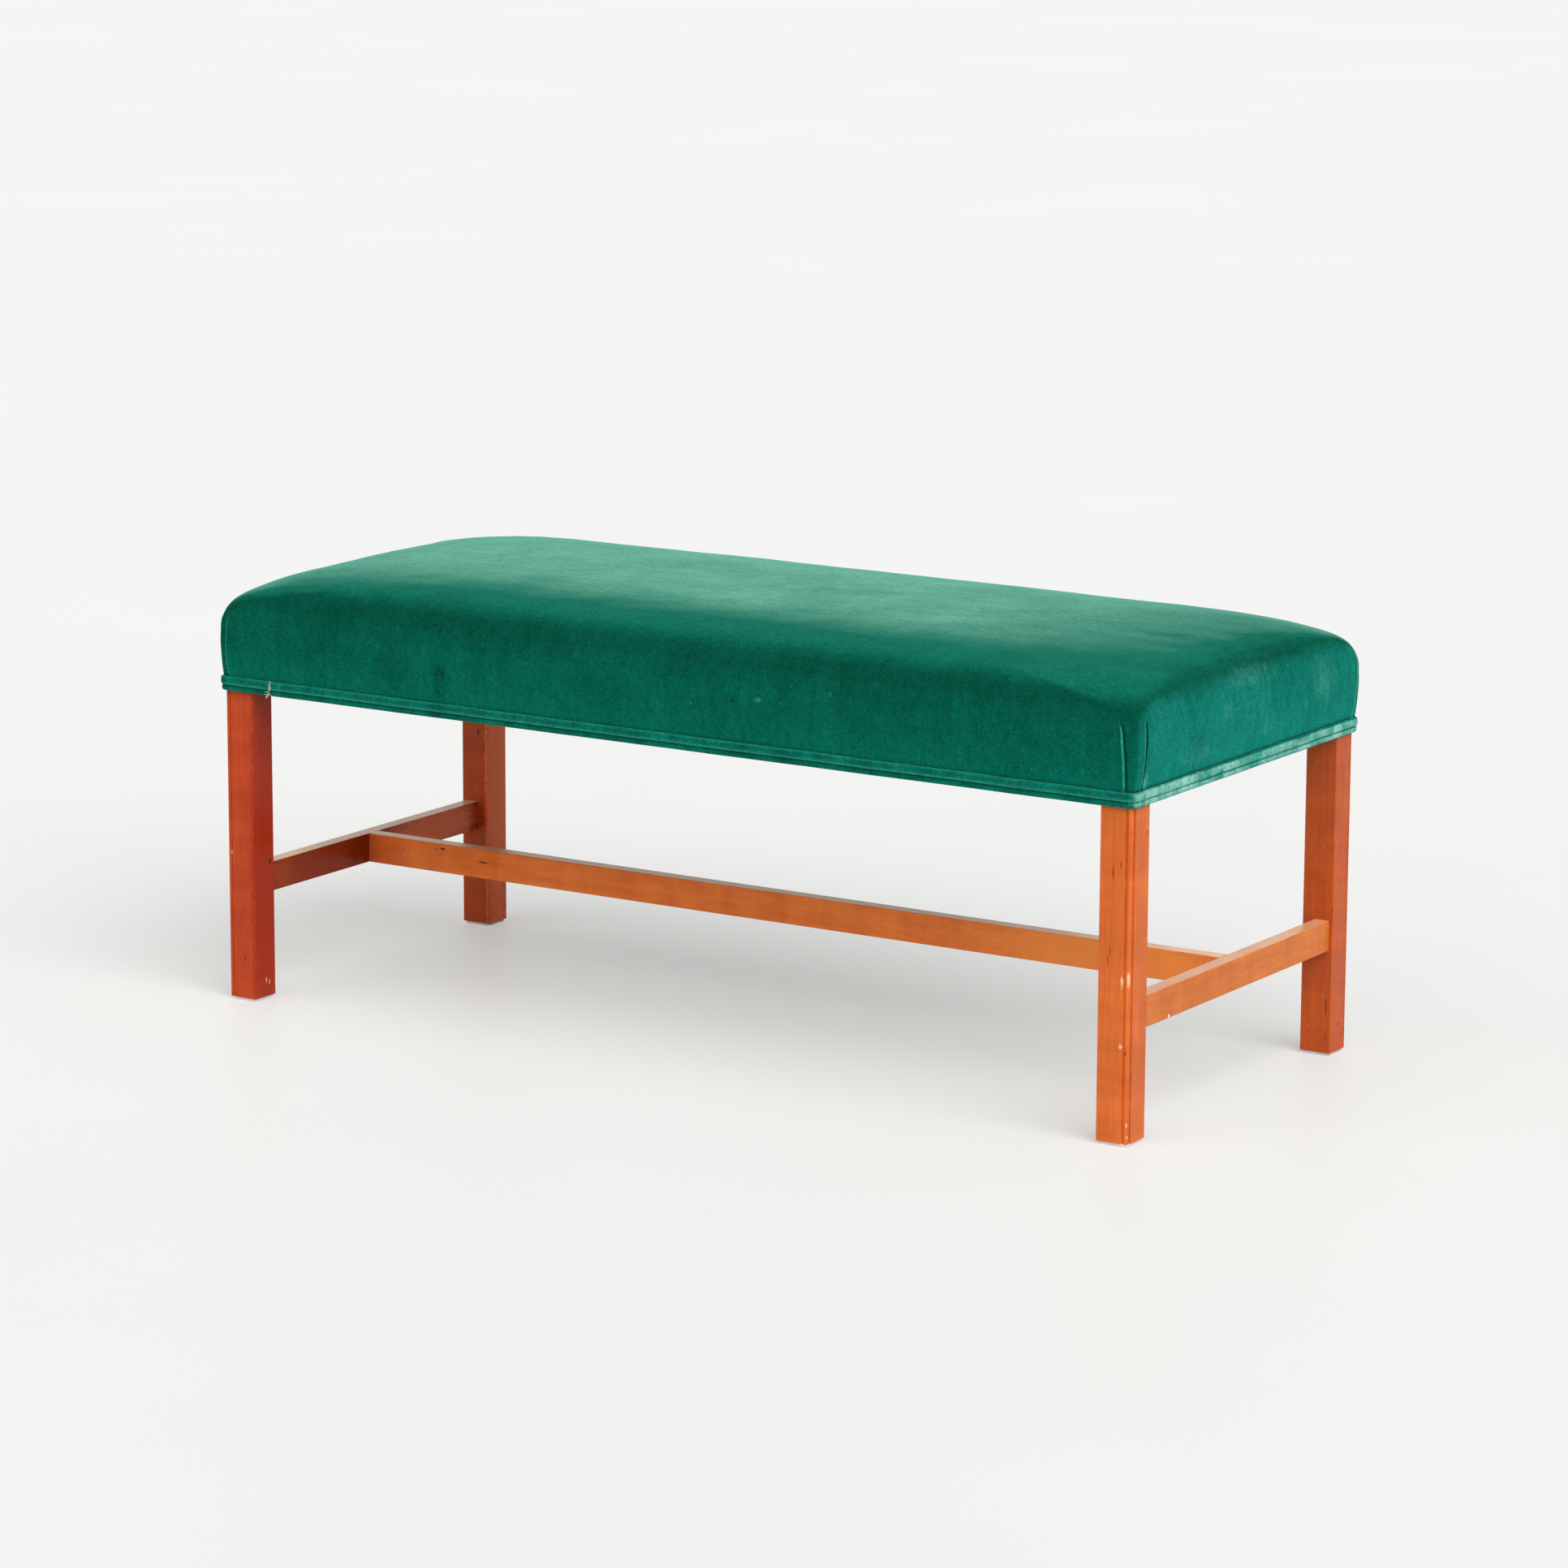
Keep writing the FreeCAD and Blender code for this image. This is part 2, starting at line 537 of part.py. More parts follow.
def block_outline(sketch):
    """Corner block in plan: its straight sides lie on two rails, and a notch clears the leg."""
    step = "leg_side - rail_thickness"
    far = f"{step} + block_reach"
    corners = [(step, "0"), (far, "0"), (far, "block_tip"),
               ("block_tip", far), ("0", far), ("0", step), (step, step)]
    count = len(corners)
    spread = size["block_reach"]
    spots = []
    for number in range(count):
        angle = 2 * math.pi * number / count - math.pi / 2
        spots.append(FreeCAD.Vector(spread * (1 + math.cos(angle)), spread * (1 + math.sin(angle)), 0))
    for number in range(count):
        sketch.addGeometry(Part.LineSegment(spots[number], spots[(number + 1) % count]))
    for number, (place_x, place_y) in enumerate(corners):
        sketch.addConstraint(Sketcher.Constraint("Coincident", (number - 1) % count, 2, number, 1))
        for kind, axis, place in (("DistanceX", -2, place_x), ("DistanceY", -1, place_y)):
            if place == "0":
                sketch.addConstraint(Sketcher.Constraint("PointOnObject", number, 1, axis))
            else:
                dimension(sketch, Sketcher.Constraint(kind, -1, 1, number, 1, spread), place)


def build_corner_blocks():
    """Blocks glued and screwed into the corners of the seat frame, behind the legs."""
    corner = new_body("corner_block_front_left")
    outline = flat_sketch(corner, "BlockOutline")
    block_outline(outline)
    wood = corner.newObject("PartDesign::Pad", "BlockWood")
    wood.Profile = outline
    bind(wood, {"Length": BLOCK_HEIGHT})
    middle = f"{BLOCK_HEIGHT} / 2"
    past_slope = "leg_side + block_reach"
    holes = (("Shank", "0", "screw_diameter"), ("Head", "screw_seat", "screw_head_diameter"))
    for name, start, diameter in holes:
        radius = f"{diameter} / 2 + screw_room"
        drill(corner, f"Front{name}Hole", ("screw_place", start, middle), ALONG_Y, radius, past_slope)
        drill(corner, f"End{name}Hole", (start, "screw_place", middle), ALONG_X, radius, past_slope)
    bind(corner, {"Placement.Base.x": f"rail_thickness - {HALF_LONG}",
                  "Placement.Base.y": f"rail_thickness - {HALF_SHORT}",
                  "Placement.Base.z": "rail_underside + block_set_up"})
    mirror_of(corner, "corner_block_front_right", ALONG_X)
    rear = mirror_of(corner, "corner_block_rear_left", ALONG_Y)
    mirror_of(rear, "corner_block_rear_right", ALONG_X)


def wood_screw():
    """A screw along +Z, with the flat underside of its head at zero."""
    length = size["screw_length"]
    head_radius = size["screw_head_diameter"] / 2
    shank = Part.makeCylinder(size["screw_diameter"] / 2, length, FreeCAD.Vector(0, 0, -length))
    head = Part.makeCone(head_radius, head_radius * SCREW_CROWN_SHARE, size["screw_head_height"])
    return shank.fuse(head)


def build_screws():
    """Two screws through each corner block, one into each rail."""
    screw = wood_screw()
    rail_x = size["leg_span_long"] / 2 - size["rail_thickness"]
    rail_y = size["leg_span_short"] / 2 - size["rail_thickness"]
    block_height = size["rail_height"] - size["block_set_up"] - size["block_set_down"]
    height = size["rail_underside"] + size["block_set_up"] + block_height / 2
    screws = []
    for side_x in (-1, 1):
        for side_y in (-1, 1):
            into_long_rail = FreeCAD.Vector(side_x * (rail_x - size["screw_place"]),
                                            side_y * (rail_y - size["screw_seat"]), height)
            into_end_rail = FreeCAD.Vector(side_x * (rail_x - size["screw_seat"]),
                                           side_y * (rail_y - size["screw_place"]), height)
            for spot, out in ((into_long_rail, ALONG_Y * -side_y), (into_end_rail, ALONG_X * -side_x)):
                placed = screw.copy()
                placed.Placement = FreeCAD.Placement(spot, FreeCAD.Rotation(ALONG_Z, out))
                screws.append(placed)
    shape_part("corner_block_screws", Part.makeCompound(screws))


def woven_strip(half_run, half_span, crossings, rises):
    """Side outline of one strip, flat on the rails and weaving over and under the strips it crosses."""
    half = size["web_thickness"] / 2
    swing = (size["web_thickness"] + size["layer_gap"]) / 2
    flat = size["web_width"] / 2 + size["web_flat"]
    line = [(-half_run, 0), (-half_span, 0)]
    for place, rise in zip(crossings, rises):
        line += [(place - flat, rise * swing), (place + flat, rise * swing)]
    line += [(half_span, 0), (half_run, 0)]
    top = [(along, level + half) for along, level in line]
    bottom = [(along, level - half) for along, level in reversed(line)]
    return top + bottom


def strip_places(span, pitch):
    """Places of the strips across a span, as many as fit one pitch apart, centred on zero."""
    edge = size["rail_thickness"] + size["web_width"] / 2 + size["web_flat"] + size["web_ramp"]
    gaps = int((span - 2 * edge) / pitch)
    return [(number - gaps / 2) * pitch for number in range(gaps + 1)]


def build_webbing():
    """Strips of webbing, woven over and under each other and held on the tops of the rails."""
    level = size["rail_underside"] + size["rail_height"] + size["web_thickness"] / 2
    cross_places = strip_places(size["leg_span_long"], size["cross_web_pitch"])
    long_places = strip_places(size["leg_span_short"], size["long_web_pitch"])

    def strips(node, places, other_places, span, along, across, first_rise):
        half_run = span / 2 - size["web_margin"]
        half_span = span / 2 - size["rail_thickness"]
        solids = []
        for number, place in enumerate(places):
            rises = [first_rise * (-1) ** (number + other) for other in range(len(other_places))]
            outline = woven_strip(half_run, half_span, other_places, rises)
            start = across * (place - size["web_width"] / 2) + ALONG_Z * level
            points = [start + along * far + ALONG_Z * up for far, up in outline]
            face = Part.Face(Part.makePolygon(points + points[:1]))
            solids.append(face.extrude(across * size["web_width"]))
        shape_part(node, Part.makeCompound(solids))

    strips("webbing_crosswise", cross_places, long_places, size["leg_span_short"], ALONG_Y, ALONG_X, 1)
    strips("webbing_lengthwise", long_places, cross_places, size["leg_span_long"], ALONG_X, ALONG_Y, -1)


def sheet_part(node, name, low, thickness, margin):
    """A level sheet of cloth, set in from the outer faces of the rails by a margin."""
    body = new_body(node)
    block(body, "Additive", name, (f"{margin} - {HALF_LONG}", f"{margin} - {HALF_SHORT}", low),
          (f"leg_span_long - 2 * {margin}", f"leg_span_short - 2 * {margin}", thickness))
    return body


def build_cloth_sheets():
    """The hessian over the webbing and the dust cloth under the rails, notched round the legs."""
    sheet_part("hessian", "HessianSheet", HESSIAN_UNDERSIDE, "hessian_thickness", "hessian_margin")
    low = "rail_underside - dust_thickness"
    dust = sheet_part("dust_cover", "DustSheet", low, "dust_thickness", "dust_margin")
    notch = "leg_side + dust_room"
    for side_x, place_x in (("Left", f"-{HALF_LONG}"), ("Right", f"{HALF_LONG} - ({notch})")):
        for side_y, place_y in (("Front", f"-{HALF_SHORT}"), ("Rear", f"{HALF_SHORT} - ({notch})")):
            block(dust, "Subtractive", f"Notch{side_y}{side_x}", (place_x, place_y, low),
                  (notch, notch, "dust_thickness"))


def build_seat():
    """Foam pad, wadding and velvet cover, one inside the other, all crowned."""
    foam_foot = [full_slice(FOAM_UNDERSIDE, FOAM_OUTSIDE)]
    soft_part("foam_pad", slice_form("FoamForm", foam_foot + crown_slices(FOAM_OUTSIDE)))

    wadding = slice_form("WaddingForm", swell_slices(WADDING_OUTSIDE) + crown_slices(WADDING_OUTSIDE))
    ledge = f"{RAIL_TOP} + layer_gap"
    round_rails = ("layer_gap", "bead_radius + layer_gap")
    rail_sides = [wall_slice(SWELL_HEIGHT, *round_rails), wall_slice(ledge, *round_rails)]
    rail_room = slice_form("RailRoom", rail_sides)
    foam_sides = [full_slice(ledge, WADDING_INSIDE), full_slice(FOAM_UNDERSIDE, WADDING_INSIDE)]
    foam_room = slice_form("FoamRoom", foam_sides + crown_slices(WADDING_INSIDE))
    soft_part("wadding", wadding, [rail_room, foam_room])

    def cover_slices(depth):
        feet = [foot_slice("rail_underside", depth), foot_slice(BAND_TOP, depth)]
        return feet + swell_slices(depth) + crown_slices(depth)

    cover = slice_form("CoverForm", cover_slices("0"))
    soft_part("velvet_cover", cover, [slice_form("CoverRoom", cover_slices("cover_thickness"))])


def build_band():
    """A folded velvet band glued round the lower edge of the cover."""
    against = f"{LOW_OFFSET} + layer_gap"
    corner = "cover_low_corner + layer_gap"
    outside = []
    for height_share, thickness_share in BAND_SHARES:
        proud = f"{thickness_share} * band_thickness"
        height = f"{BAND_UNDERSIDE} + {height_share} * band_height"
        outside.append(wall_slice(height, f"{against} + {proud}", f"{corner} + {proud}"))
    inside = [wall_slice(BAND_UNDERSIDE, against, corner), wall_slice(BAND_TOP, against, corner)]
    soft_part("velvet_band", slice_form("BandForm", outside), [slice_form("BandRoom", inside)])


build_legs()
build_foot_pads()
build_rails()
build_brace()
build_stretchers()
build_corner_blocks()
build_screws()
build_webbing()
build_cloth_sheets()
build_seat()
build_band()
doc.recompute()

for item in doc.Objects:
    if "Invalid" in item.State or "Error" in item.State:
        raise RuntimeError(f"{item.Name} failed to build: {item.State}")
for item in sub_parts:
    if item.Shape.isNull() or not item.Shape.isValid() or not item.Shape.Solids:
        raise RuntimeError(f"{item.Label} has no valid shape")

os.makedirs("parts", exist_ok=True)
for item in sub_parts:
    item.Shape.exportStep(f"parts/{item.Label}.step")
    print(f"{item.Label}: {len(item.Shape.Solids)} solid, {item.Shape.Volume / 1000:.2f} cm3")
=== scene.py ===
"""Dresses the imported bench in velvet, cherry and felt, and sets its camera, light and floor."""

import math

import bmesh
import bpy
import numpy as np
from mathutils import Matrix, Vector
from mathutils.bvhtree import BVHTree


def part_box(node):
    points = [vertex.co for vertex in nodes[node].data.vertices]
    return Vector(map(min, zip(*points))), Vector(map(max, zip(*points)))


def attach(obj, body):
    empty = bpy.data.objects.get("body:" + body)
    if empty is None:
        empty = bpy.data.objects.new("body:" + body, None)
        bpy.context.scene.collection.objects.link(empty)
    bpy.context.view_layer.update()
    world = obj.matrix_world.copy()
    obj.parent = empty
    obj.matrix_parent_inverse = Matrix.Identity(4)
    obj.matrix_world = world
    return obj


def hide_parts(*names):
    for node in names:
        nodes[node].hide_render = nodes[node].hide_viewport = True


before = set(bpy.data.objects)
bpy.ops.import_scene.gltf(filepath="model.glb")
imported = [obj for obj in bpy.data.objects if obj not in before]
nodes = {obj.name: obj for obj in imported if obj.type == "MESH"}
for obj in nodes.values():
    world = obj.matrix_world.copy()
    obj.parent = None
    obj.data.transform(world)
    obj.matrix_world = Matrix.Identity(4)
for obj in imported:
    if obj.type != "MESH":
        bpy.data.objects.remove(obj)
scene = bpy.context.scene
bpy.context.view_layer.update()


# Shader building blocks

def feed(socket, value):
    """Links a node's output to a socket, or sets a constant on it."""
    if isinstance(value, bpy.types.NodeSocket):
        socket.id_data.links.new(value, socket)
    elif socket.type == "RGBA":
        socket.default_value = (*value, 1)
    else:
        socket.default_value = value


def plug(node, **inputs):
    """Sets or links the named inputs of a node."""
    for name, value in inputs.items():
        feed(node.inputs[name.replace("_", " ")], value)
    return node


def add(tree, kind, **inputs):
    """A new shader node with its named inputs set or linked."""
    return plug(tree.nodes.new("ShaderNode" + kind), **inputs)


def start_material(name):
    """A new node material, with its tree, its main shader and the metre coordinates of the object."""
    material = bpy.data.materials.new(name)
    material.use_nodes = True
    tree = material.node_tree
    shader = tree.nodes["Principled BSDF"]
    place = add(tree, "TexCoord").outputs["Object"]
    return material, tree, shader, place


def stretch(vector, scale, shift=(0, 0, 0)):
    """Coordinates scaled apart along the three axes and shifted."""
    return add(vector.id_data, "Mapping", Vector=vector, Scale=scale, Location=shift).outputs[0]


def noise(vector, scale, detail=3.0, distortion=0.0):
    """Cloudy values about 0.5."""
    return add(vector.id_data, "TexNoise", Vector=vector, Scale=scale,
               Detail=detail, Distortion=distortion).outputs[0]


def remap(value, low, high, to_low=0.0, to_high=1.0):
    """A value brought from one range to another, held at its ends."""
    return add(value.id_data, "MapRange", Value=value, From_Min=low, From_Max=high,
               To_Min=to_low, To_Max=to_high).outputs[0]


def calc(operation, first, second=0.0):
    """One arithmetic step on two values."""
    node = add(first.id_data, "Math")
    node.operation = operation
    feed(node.inputs[0], first)
    feed(node.inputs[1], second)
    return node.outputs[0]


def times(first, *others):
    """Values multiplied together."""
    for other in others:
        first = calc("MULTIPLY", first, other)
    return first


def weighted(*pairs):
    """A sum of values, each times its share."""
    total, *rest = [times(value, share) for value, share in pairs]
    for part in rest:
        total = calc("ADD", total, part)
    return total


def measure(operation, *vectors):
    """A number worked out from one or two vectors."""
    node = add(vectors[0].id_data, "VectorMath")
    node.operation = operation
    for socket, vector in zip(node.inputs, vectors):
        feed(socket, vector)
    return node.outputs["Value"]


def split(vector):
    """The three parts of a vector."""
    return add(vector.id_data, "SeparateXYZ", Vector=vector).outputs


def facing(tree):
    """The surface's outward direction."""
    return add(tree, "NewGeometry").outputs["Normal"]


def toned(colour, share, lift=0.0):
    """A colour made darker or lighter."""
    return [min(1.0, part * share + lift) for part in colour]


def mix(factor, first, second, blend="MIX"):
    """Two colours mixed by a factor. The factor or the first colour is a node's output."""
    known = factor if isinstance(factor, bpy.types.NodeSocket) else first
    node = add(known.id_data, "Mix")
    node.data_type = "RGBA"
    node.blend_type = blend
    for number, value in ((0, factor), (6, first), (7, second)):
        feed(node.inputs[number], value)
    return node.outputs[2]


def bump(height, depth, strength, under=None):
    """A bumped normal whose full height is the given depth in metres."""
    node = add(height.id_data, "Bump", Height=height, Distance=depth, Strength=strength)
    if under is not None:
        feed(node.inputs["Normal"], under)
    return node.outputs[0]


RAGGED = 0.9
SPOT_OUTSIDE = 1.5
SPOT_INSIDE = 1.0


def spot(place, centre, reach, edge_noise):
    """A ragged patch, 1 inside and 0 outside, with its centre and half sizes in millimetres."""
    scaled = stretch(place, [1000 / r for r in reach], [-c / r for c, r in zip(centre, reach)])
    ragged = calc("ADD", measure("LENGTH", scaled), times(edge_noise, RAGGED))
    return remap(ragged, SPOT_OUTSIDE, SPOT_INSIDE)


def marked(place, colour, marks, edge_noise, *shares):
    """A colour with ragged marks over it. Each has its centre, reach, tint and strength."""
    for centre, reach, tint, strength in marks:
        patch = times(spot(place, centre, reach, edge_noise), strength, *shares)
        colour = mix(patch, colour, tint)
    return colour


def tinted(colour, *layers):
    """A colour with patterns over it. Each has the values where it begins and is full, a share and a tint."""
    for pattern, begins, full, share, tint in layers:
        colour = mix(remap(pattern, begins, full, 0.0, share), colour, tint)
    return colour


# Materials

# The range that most of a noise lies in
NOISE_SPAN = (0.3, 0.7)

# Wood: axes and scales of its grain, reach of worn edges with a painted highlight, ranges of roughness and of
# top scuffs with a painted reflection, colours of marks
ALONG_X, ALONG_Y, ALONG_Z = range(3)
GRAIN_STRETCH = 0.06
PORE_STRETCH = 0.16
CURL_STRETCH = 0.22
CURL_SHARE = 0.34
EDGE_WEAR_AND_HIGHLIGHT_REACH = 0.0014
VARNISHED = (0.2, 0.3)
PLANED = (0.58, 0.75)
TOP_MILD_SCUFF_AND_REFLECTION = (0.3, 0.58)
TOP_STRONG_SCUFF_AND_REFLECTION = (0.62, 0.94)
KNOT = (0.055, 0.012, 0.006)
BARE = (0.74, 0.36, 0.16)
PALE = (0.86, 0.58, 0.34)
HONEY = (0.98, 0.32, 0.066)
SCUFF_AND_REFLECTION = (1.0, 0.66, 0.41)
CHIPPED = (0.98, 0.86, 0.76)


def drawn_out(axis, on_axis, off_axis=1.0):
    """Scales that draw a pattern out along an axis, or across it."""
    scales = [off_axis] * 3
    scales[axis] = on_axis
    return scales


def wood(name, axis, shift, light, dark, varnished, marks=(), top_scuff_and_reflection=TOP_MILD_SCUFF_AND_REFLECTION):
    """Straight-grained wood that runs along an axis, with gum streaks, pores, worn edges with a painted
    highlight, marks, and scuffed tops with a painted reflection.
    """
    material, tree, shader, place = start_material(name)
    grain = stretch(place, drawn_out(axis, GRAIN_STRETCH), shift)
    short = stretch(place, drawn_out(axis, PORE_STRETCH), shift)
    crosswise = stretch(place, drawn_out(axis, 1.0, CURL_STRETCH), shift)
    curl = noise(crosswise, 42.0, 3.0, 0.5)
    broad = noise(grain, 62.0, 3.0, 0.6)
    fine = noise(grain, 520.0, 4.0, 0.3)
    pores = noise(short, 1500.0, 2.0)
    cloud = noise(stretch(place, (1, 1, 1), shift), 14.0)
    gum = noise(short, 190.0, 3.0, 0.8)
    figure = add(tree, "TexWave", Vector=stretch(grain, (1, 1, 1), (0.4, 0.2, 0.3)), Scale=34.0,
                 Distortion=10.0, Detail=3.0, Detail_Scale=1.1).outputs["Fac"]
    colour = mix(remap(broad, 0.34, 0.68, 0.24, 0.96), dark, light)
    curled = mix(remap(curl, 0.36, 0.64), toned(dark, 0.82), toned(light, 1.12))
    colour = mix(CURL_SHARE, colour, curled)
    colour = tinted(
        colour,
        (cloud, 0.35, 0.7, 0.45, toned(light, 0.72)),
        (figure, 0.55, 0.98, 0.1, toned(dark, 0.45)),
        (fine, 0.42, 0.7, 0.26, toned(dark, 0.55)),
        (gum, 0.71, 0.79, 0.5, toned(dark, 0.22)),
        (pores, 0.66, 0.76, 0.3, toned(dark, 0.3)))
    if varnished:
        # Worn edges, paler partly from wear and partly as a painted highlight.
        rounded = add(tree, "Bevel", Radius=EDGE_WEAR_AND_HIGHLIGHT_REACH).outputs[0]
        edges = remap(measure("DOT_PRODUCT", rounded, facing(tree)), 0.97, 0.8)
        wear_and_highlight = times(edges, remap(noise(place, 90.0, 4.0), 0.4, 0.62, 0.1, 0.65))
        colour = mix(wear_and_highlight, colour, toned(light, 1.35, 0.03))
        colour = tinted(colour, (noise(place, 420.0, 2.0), 0.735, 0.775, 0.7, PALE))
        colour = marked(place, colour, marks, noise(place, 240.0))
        # Upward faces paler, partly from scuffs and dust and partly as a painted reflection, heavier on the
        # long and left stretchers in the seat's shade.
        upward = split(facing(tree))["Z"]
        scuffs_and_reflection = times(remap(upward, 0.8, 0.98), remap(cloud, 0.3, 0.65, *top_scuff_and_reflection))
        colour = mix(scuffs_and_reflection, colour, SCUFF_AND_REFLECTION)
        plug(shader, Specular_IOR_Level=0.1, Coat_Weight=0.06, Coat_Roughness=0.12)
    rough = remap(fine, *NOISE_SPAN, *(VARNISHED if varnished else PLANED))
    lines = bump(fine, 0.00012, 0.5)
    plug(shader, Base_Color=colour, Roughness=rough, Normal=bump(pores, 0.0001, 0.4, lines))
    return material


# Velvet: where the crown's wear and painted sheen and the paler foot begin and are full, and its colours
WEAR_AND_SHEEN_FRONT = (-0.158, -0.045)
WEAR_AND_SHEEN_BACK = (0.26, 0.192)
WEAR_AND_SHEEN_LEFT = (-0.72, -0.4)
WEAR_AND_SHEEN_RIGHT = (0.47, 0.23)
FOOT_REACH = (0.392, 0.356)
FOOT_LONG = (0.001, 0.215, 0.15)
FOOT_END = (0.003, 0.31, 0.25)
BEND_PAINTED_SHADE = (0.0, 0.028, 0.017)
CROWN_DEEP = (0.001, 0.11, 0.068)
CROWN_BRIGHT = (0.003, 0.154, 0.099)
CROWN_WORN_AND_SHEEN = (0.128, 0.38, 0.26)
CREST_HIGHLIGHT = (0.03, 0.33, 0.24)
SLIT_SHADE = (0.0, 0.009, 0.006)
EDGE_ON = (0.23, 0.51, 0.38)
SHEEN = (0.16, 0.95, 0.76)
LINT = (0.3, 0.66, 0.53)
SMUDGE = (0.0, 0.035, 0.024)
FRESH = (0.03, 0.34, 0.24)
RUBBED = (0.12, 0.42, 0.35)
BAND_PALE = (0.32, 0.66, 0.56)
BAND_DEEP = (0.02, 0.25, 0.195)


def crown(place, outward, endward, shade, colour):
    """The seat's colour: paler at its foot, painted shade along the bends, a top that is partly rubbed wear
    and partly painted sheen, and a painted sheen on the left shoulder.
    """
    where = split(place)
    upward = outward["Z"]
    foot = times(remap(where["Z"], *FOOT_REACH), remap(upward, 0.3, 0.0), 0.3)
    colour = mix(foot, colour, mix(endward, FOOT_LONG, FOOT_END))
    # Painted shade along the bends from the top into the sides, weaker on the ends.
    bend = times(remap(upward, 0.05, 0.42), remap(upward, 0.97, 0.74))
    sideways = calc("SUBTRACT", *[calc("ABSOLUTE", outward[axis]) for axis in "XY"])
    bend_shade_share = remap(sideways, -0.1, 0.3, 0.5, 0.26)
    colour = mix(times(bend, bend_shade_share), colour, BEND_PAINTED_SHADE)
    # The top's tones are lighter than the sides' partly as painted sheen.
    top = remap(upward, 0.9, 0.99)
    colour = mix(top, colour, mix(shade, CROWN_DEEP, CROWN_BRIGHT))
    streak = noise(stretch(place, (0.35, 1, 1), (0, 1.7, 0)), 60.0, 6.0, 0.6)
    patch = noise(place, 10.0, 4.0, 0.5)
    flecks = noise(stretch(place, (0.5, 1, 1), (0, 0.6, 0)), 230.0, 4.0, 0.4)
    rubbed_and_sheen = weighted((remap(streak, 0.36, 0.66), 0.25), (remap(patch, 0.34, 0.66), 0.45),
                      (remap(flecks, 0.34, 0.66), 0.3))
    # The pale crown is partly rubbed wear and partly painted sheen.
    depth = times(remap(where["Y"], *WEAR_AND_SHEEN_FRONT), remap(where["Y"], *WEAR_AND_SHEEN_BACK))
    length = times(remap(where["X"], *WEAR_AND_SHEEN_LEFT), remap(where["X"], *WEAR_AND_SHEEN_RIGHT))
    wear_and_highlight = times(calc("ADD", rubbed_and_sheen, 0.24), times(depth, length))
    colour = mix(times(top, wear_and_highlight), colour, CROWN_WORN_AND_SHEEN)
    # Painted sheen along the shoulder of the left end.
    shoulder = times(remap(upward, 0.12, 0.5), remap(sideways, 0.0, 0.4))
    left_rim_sheen = times(remap(outward["X"], -0.08, -0.4), shoulder, 0.5)
    return mix(left_rim_sheen, colour, CROWN_WORN_AND_SHEEN)


def velvet(name, deep, bright, end_deep, end_bright, crowned, marks):
    """Cut-pile velvet: brushed nap, paler ends, painted highlights and shade at folds, marks, and a pale
    sheen where it is seen edge on.
    """
    material, tree, shader, place = start_material(name)
    outward = split(facing(tree))
    endward = remap(calc("ABSOLUTE", outward["X"]), 0.72, 0.96)
    smudge = noise(stretch(place, (1, 1, 0.8)), 11.0, 3.0, 0.4)
    brush = noise(stretch(place, (1, 1, 0.35), (3.1, 0, 0)), 44.0, 4.0, 0.3)
    stroke = noise(stretch(place, (1, 1, 0.2), (0, 2.3, 0)), 130.0, 4.0, 0.3)
    pile = noise(place, 1100.0, 2.0)
    tuft = noise(place, 430.0)
    mottle = noise(stretch(place, (1, 1, 0.6)), 150.0, 4.0, 0.6)
    nap = weighted((smudge, 0.45), (brush, 0.3), (stroke, 0.25))
    if crowned:
        shade = remap(nap, 0.36, 0.64)
    else:
        crushed = noise(place, 34.0, 5.0, 0.6)
        shade = remap(weighted((crushed, 0.7), (nap, 0.3)), 0.4, 0.62)
    colour = mix(endward, mix(shade, deep, bright), mix(shade, end_deep, end_bright))
    if crowned:
        colour = crown(place, outward, endward, shade, colour)
    # Painted highlights on fold crests, and painted shade in slits, grooves and the tuck above the band,
    # stored on the points.
    attribute = add(tree, "Attribute")
    attribute.attribute_name = "painted_fold_shading"
    painted_fold_shading = attribute.outputs["Fac"]
    colour = tinted(colour, (painted_fold_shading, 0.0, 1.0, 0.75, CREST_HIGHLIGHT), (painted_fold_shading, 0.0, -1.0, 0.95, SLIT_SHADE))
    brushed = remap(stroke, 0.38, 0.62, 0.25, 1.15)
    colour = marked(place, colour, marks, noise(place, 160.0), brushed)
    edge_on = add(tree, "LayerWeight", Blend=0.5).outputs["Facing"]
    lint = noise(place, 340.0, 2.0)
    colour = tinted(colour, (edge_on, 0.77, 0.95, 0.58, EDGE_ON), (lint, 0.755, 0.795, 0.35, LINT))
    grain = weighted((pile, 0.34), (tuft, 0.46), (mottle, 0.2))
    level = remap(grain, 0.35, 0.65, 0.58, 1.42)
    grey = add(tree, "CombineColor", Red=level, Green=level, Blue=level).outputs[0]
    colour = mix(1.0, colour, grey, "MULTIPLY")
    tufted = bump(tuft, 0.0003, 0.5)
    plug(shader, Base_Color=colour, Roughness=remap(nap, *NOISE_SPAN, 0.95, 0.82),
         Normal=bump(pile, 0.00025, 0.6, tufted), Specular_IOR_Level=0.04,
         Sheen_Weight=0.6, Sheen_Roughness=0.215, Sheen_Tint=SHEEN)
    return material


def woven(name, light, dark, pitch, depth):
    """Plain weave: two sets of threads, each over and under the other."""
    material, _, shader, place = start_material(name)
    where = split(place)
    turn = 2 * math.pi / pitch
    warp, weft = [calc("SINE", times(where[axis], turn)) for axis in "XY"]
    weave = calc("ADD", times(warp, weft, 0.5), 0.5)
    fibre = noise(place, 900.0)
    tone = weighted((weave, 0.6), (fibre, 0.5))
    plug(shader, Base_Color=mix(remap(tone, 0.15, 0.85), dark, light),
         Roughness=remap(fibre, *NOISE_SPAN, 0.8, 0.95), Normal=bump(tone, depth, 0.8))
    return material


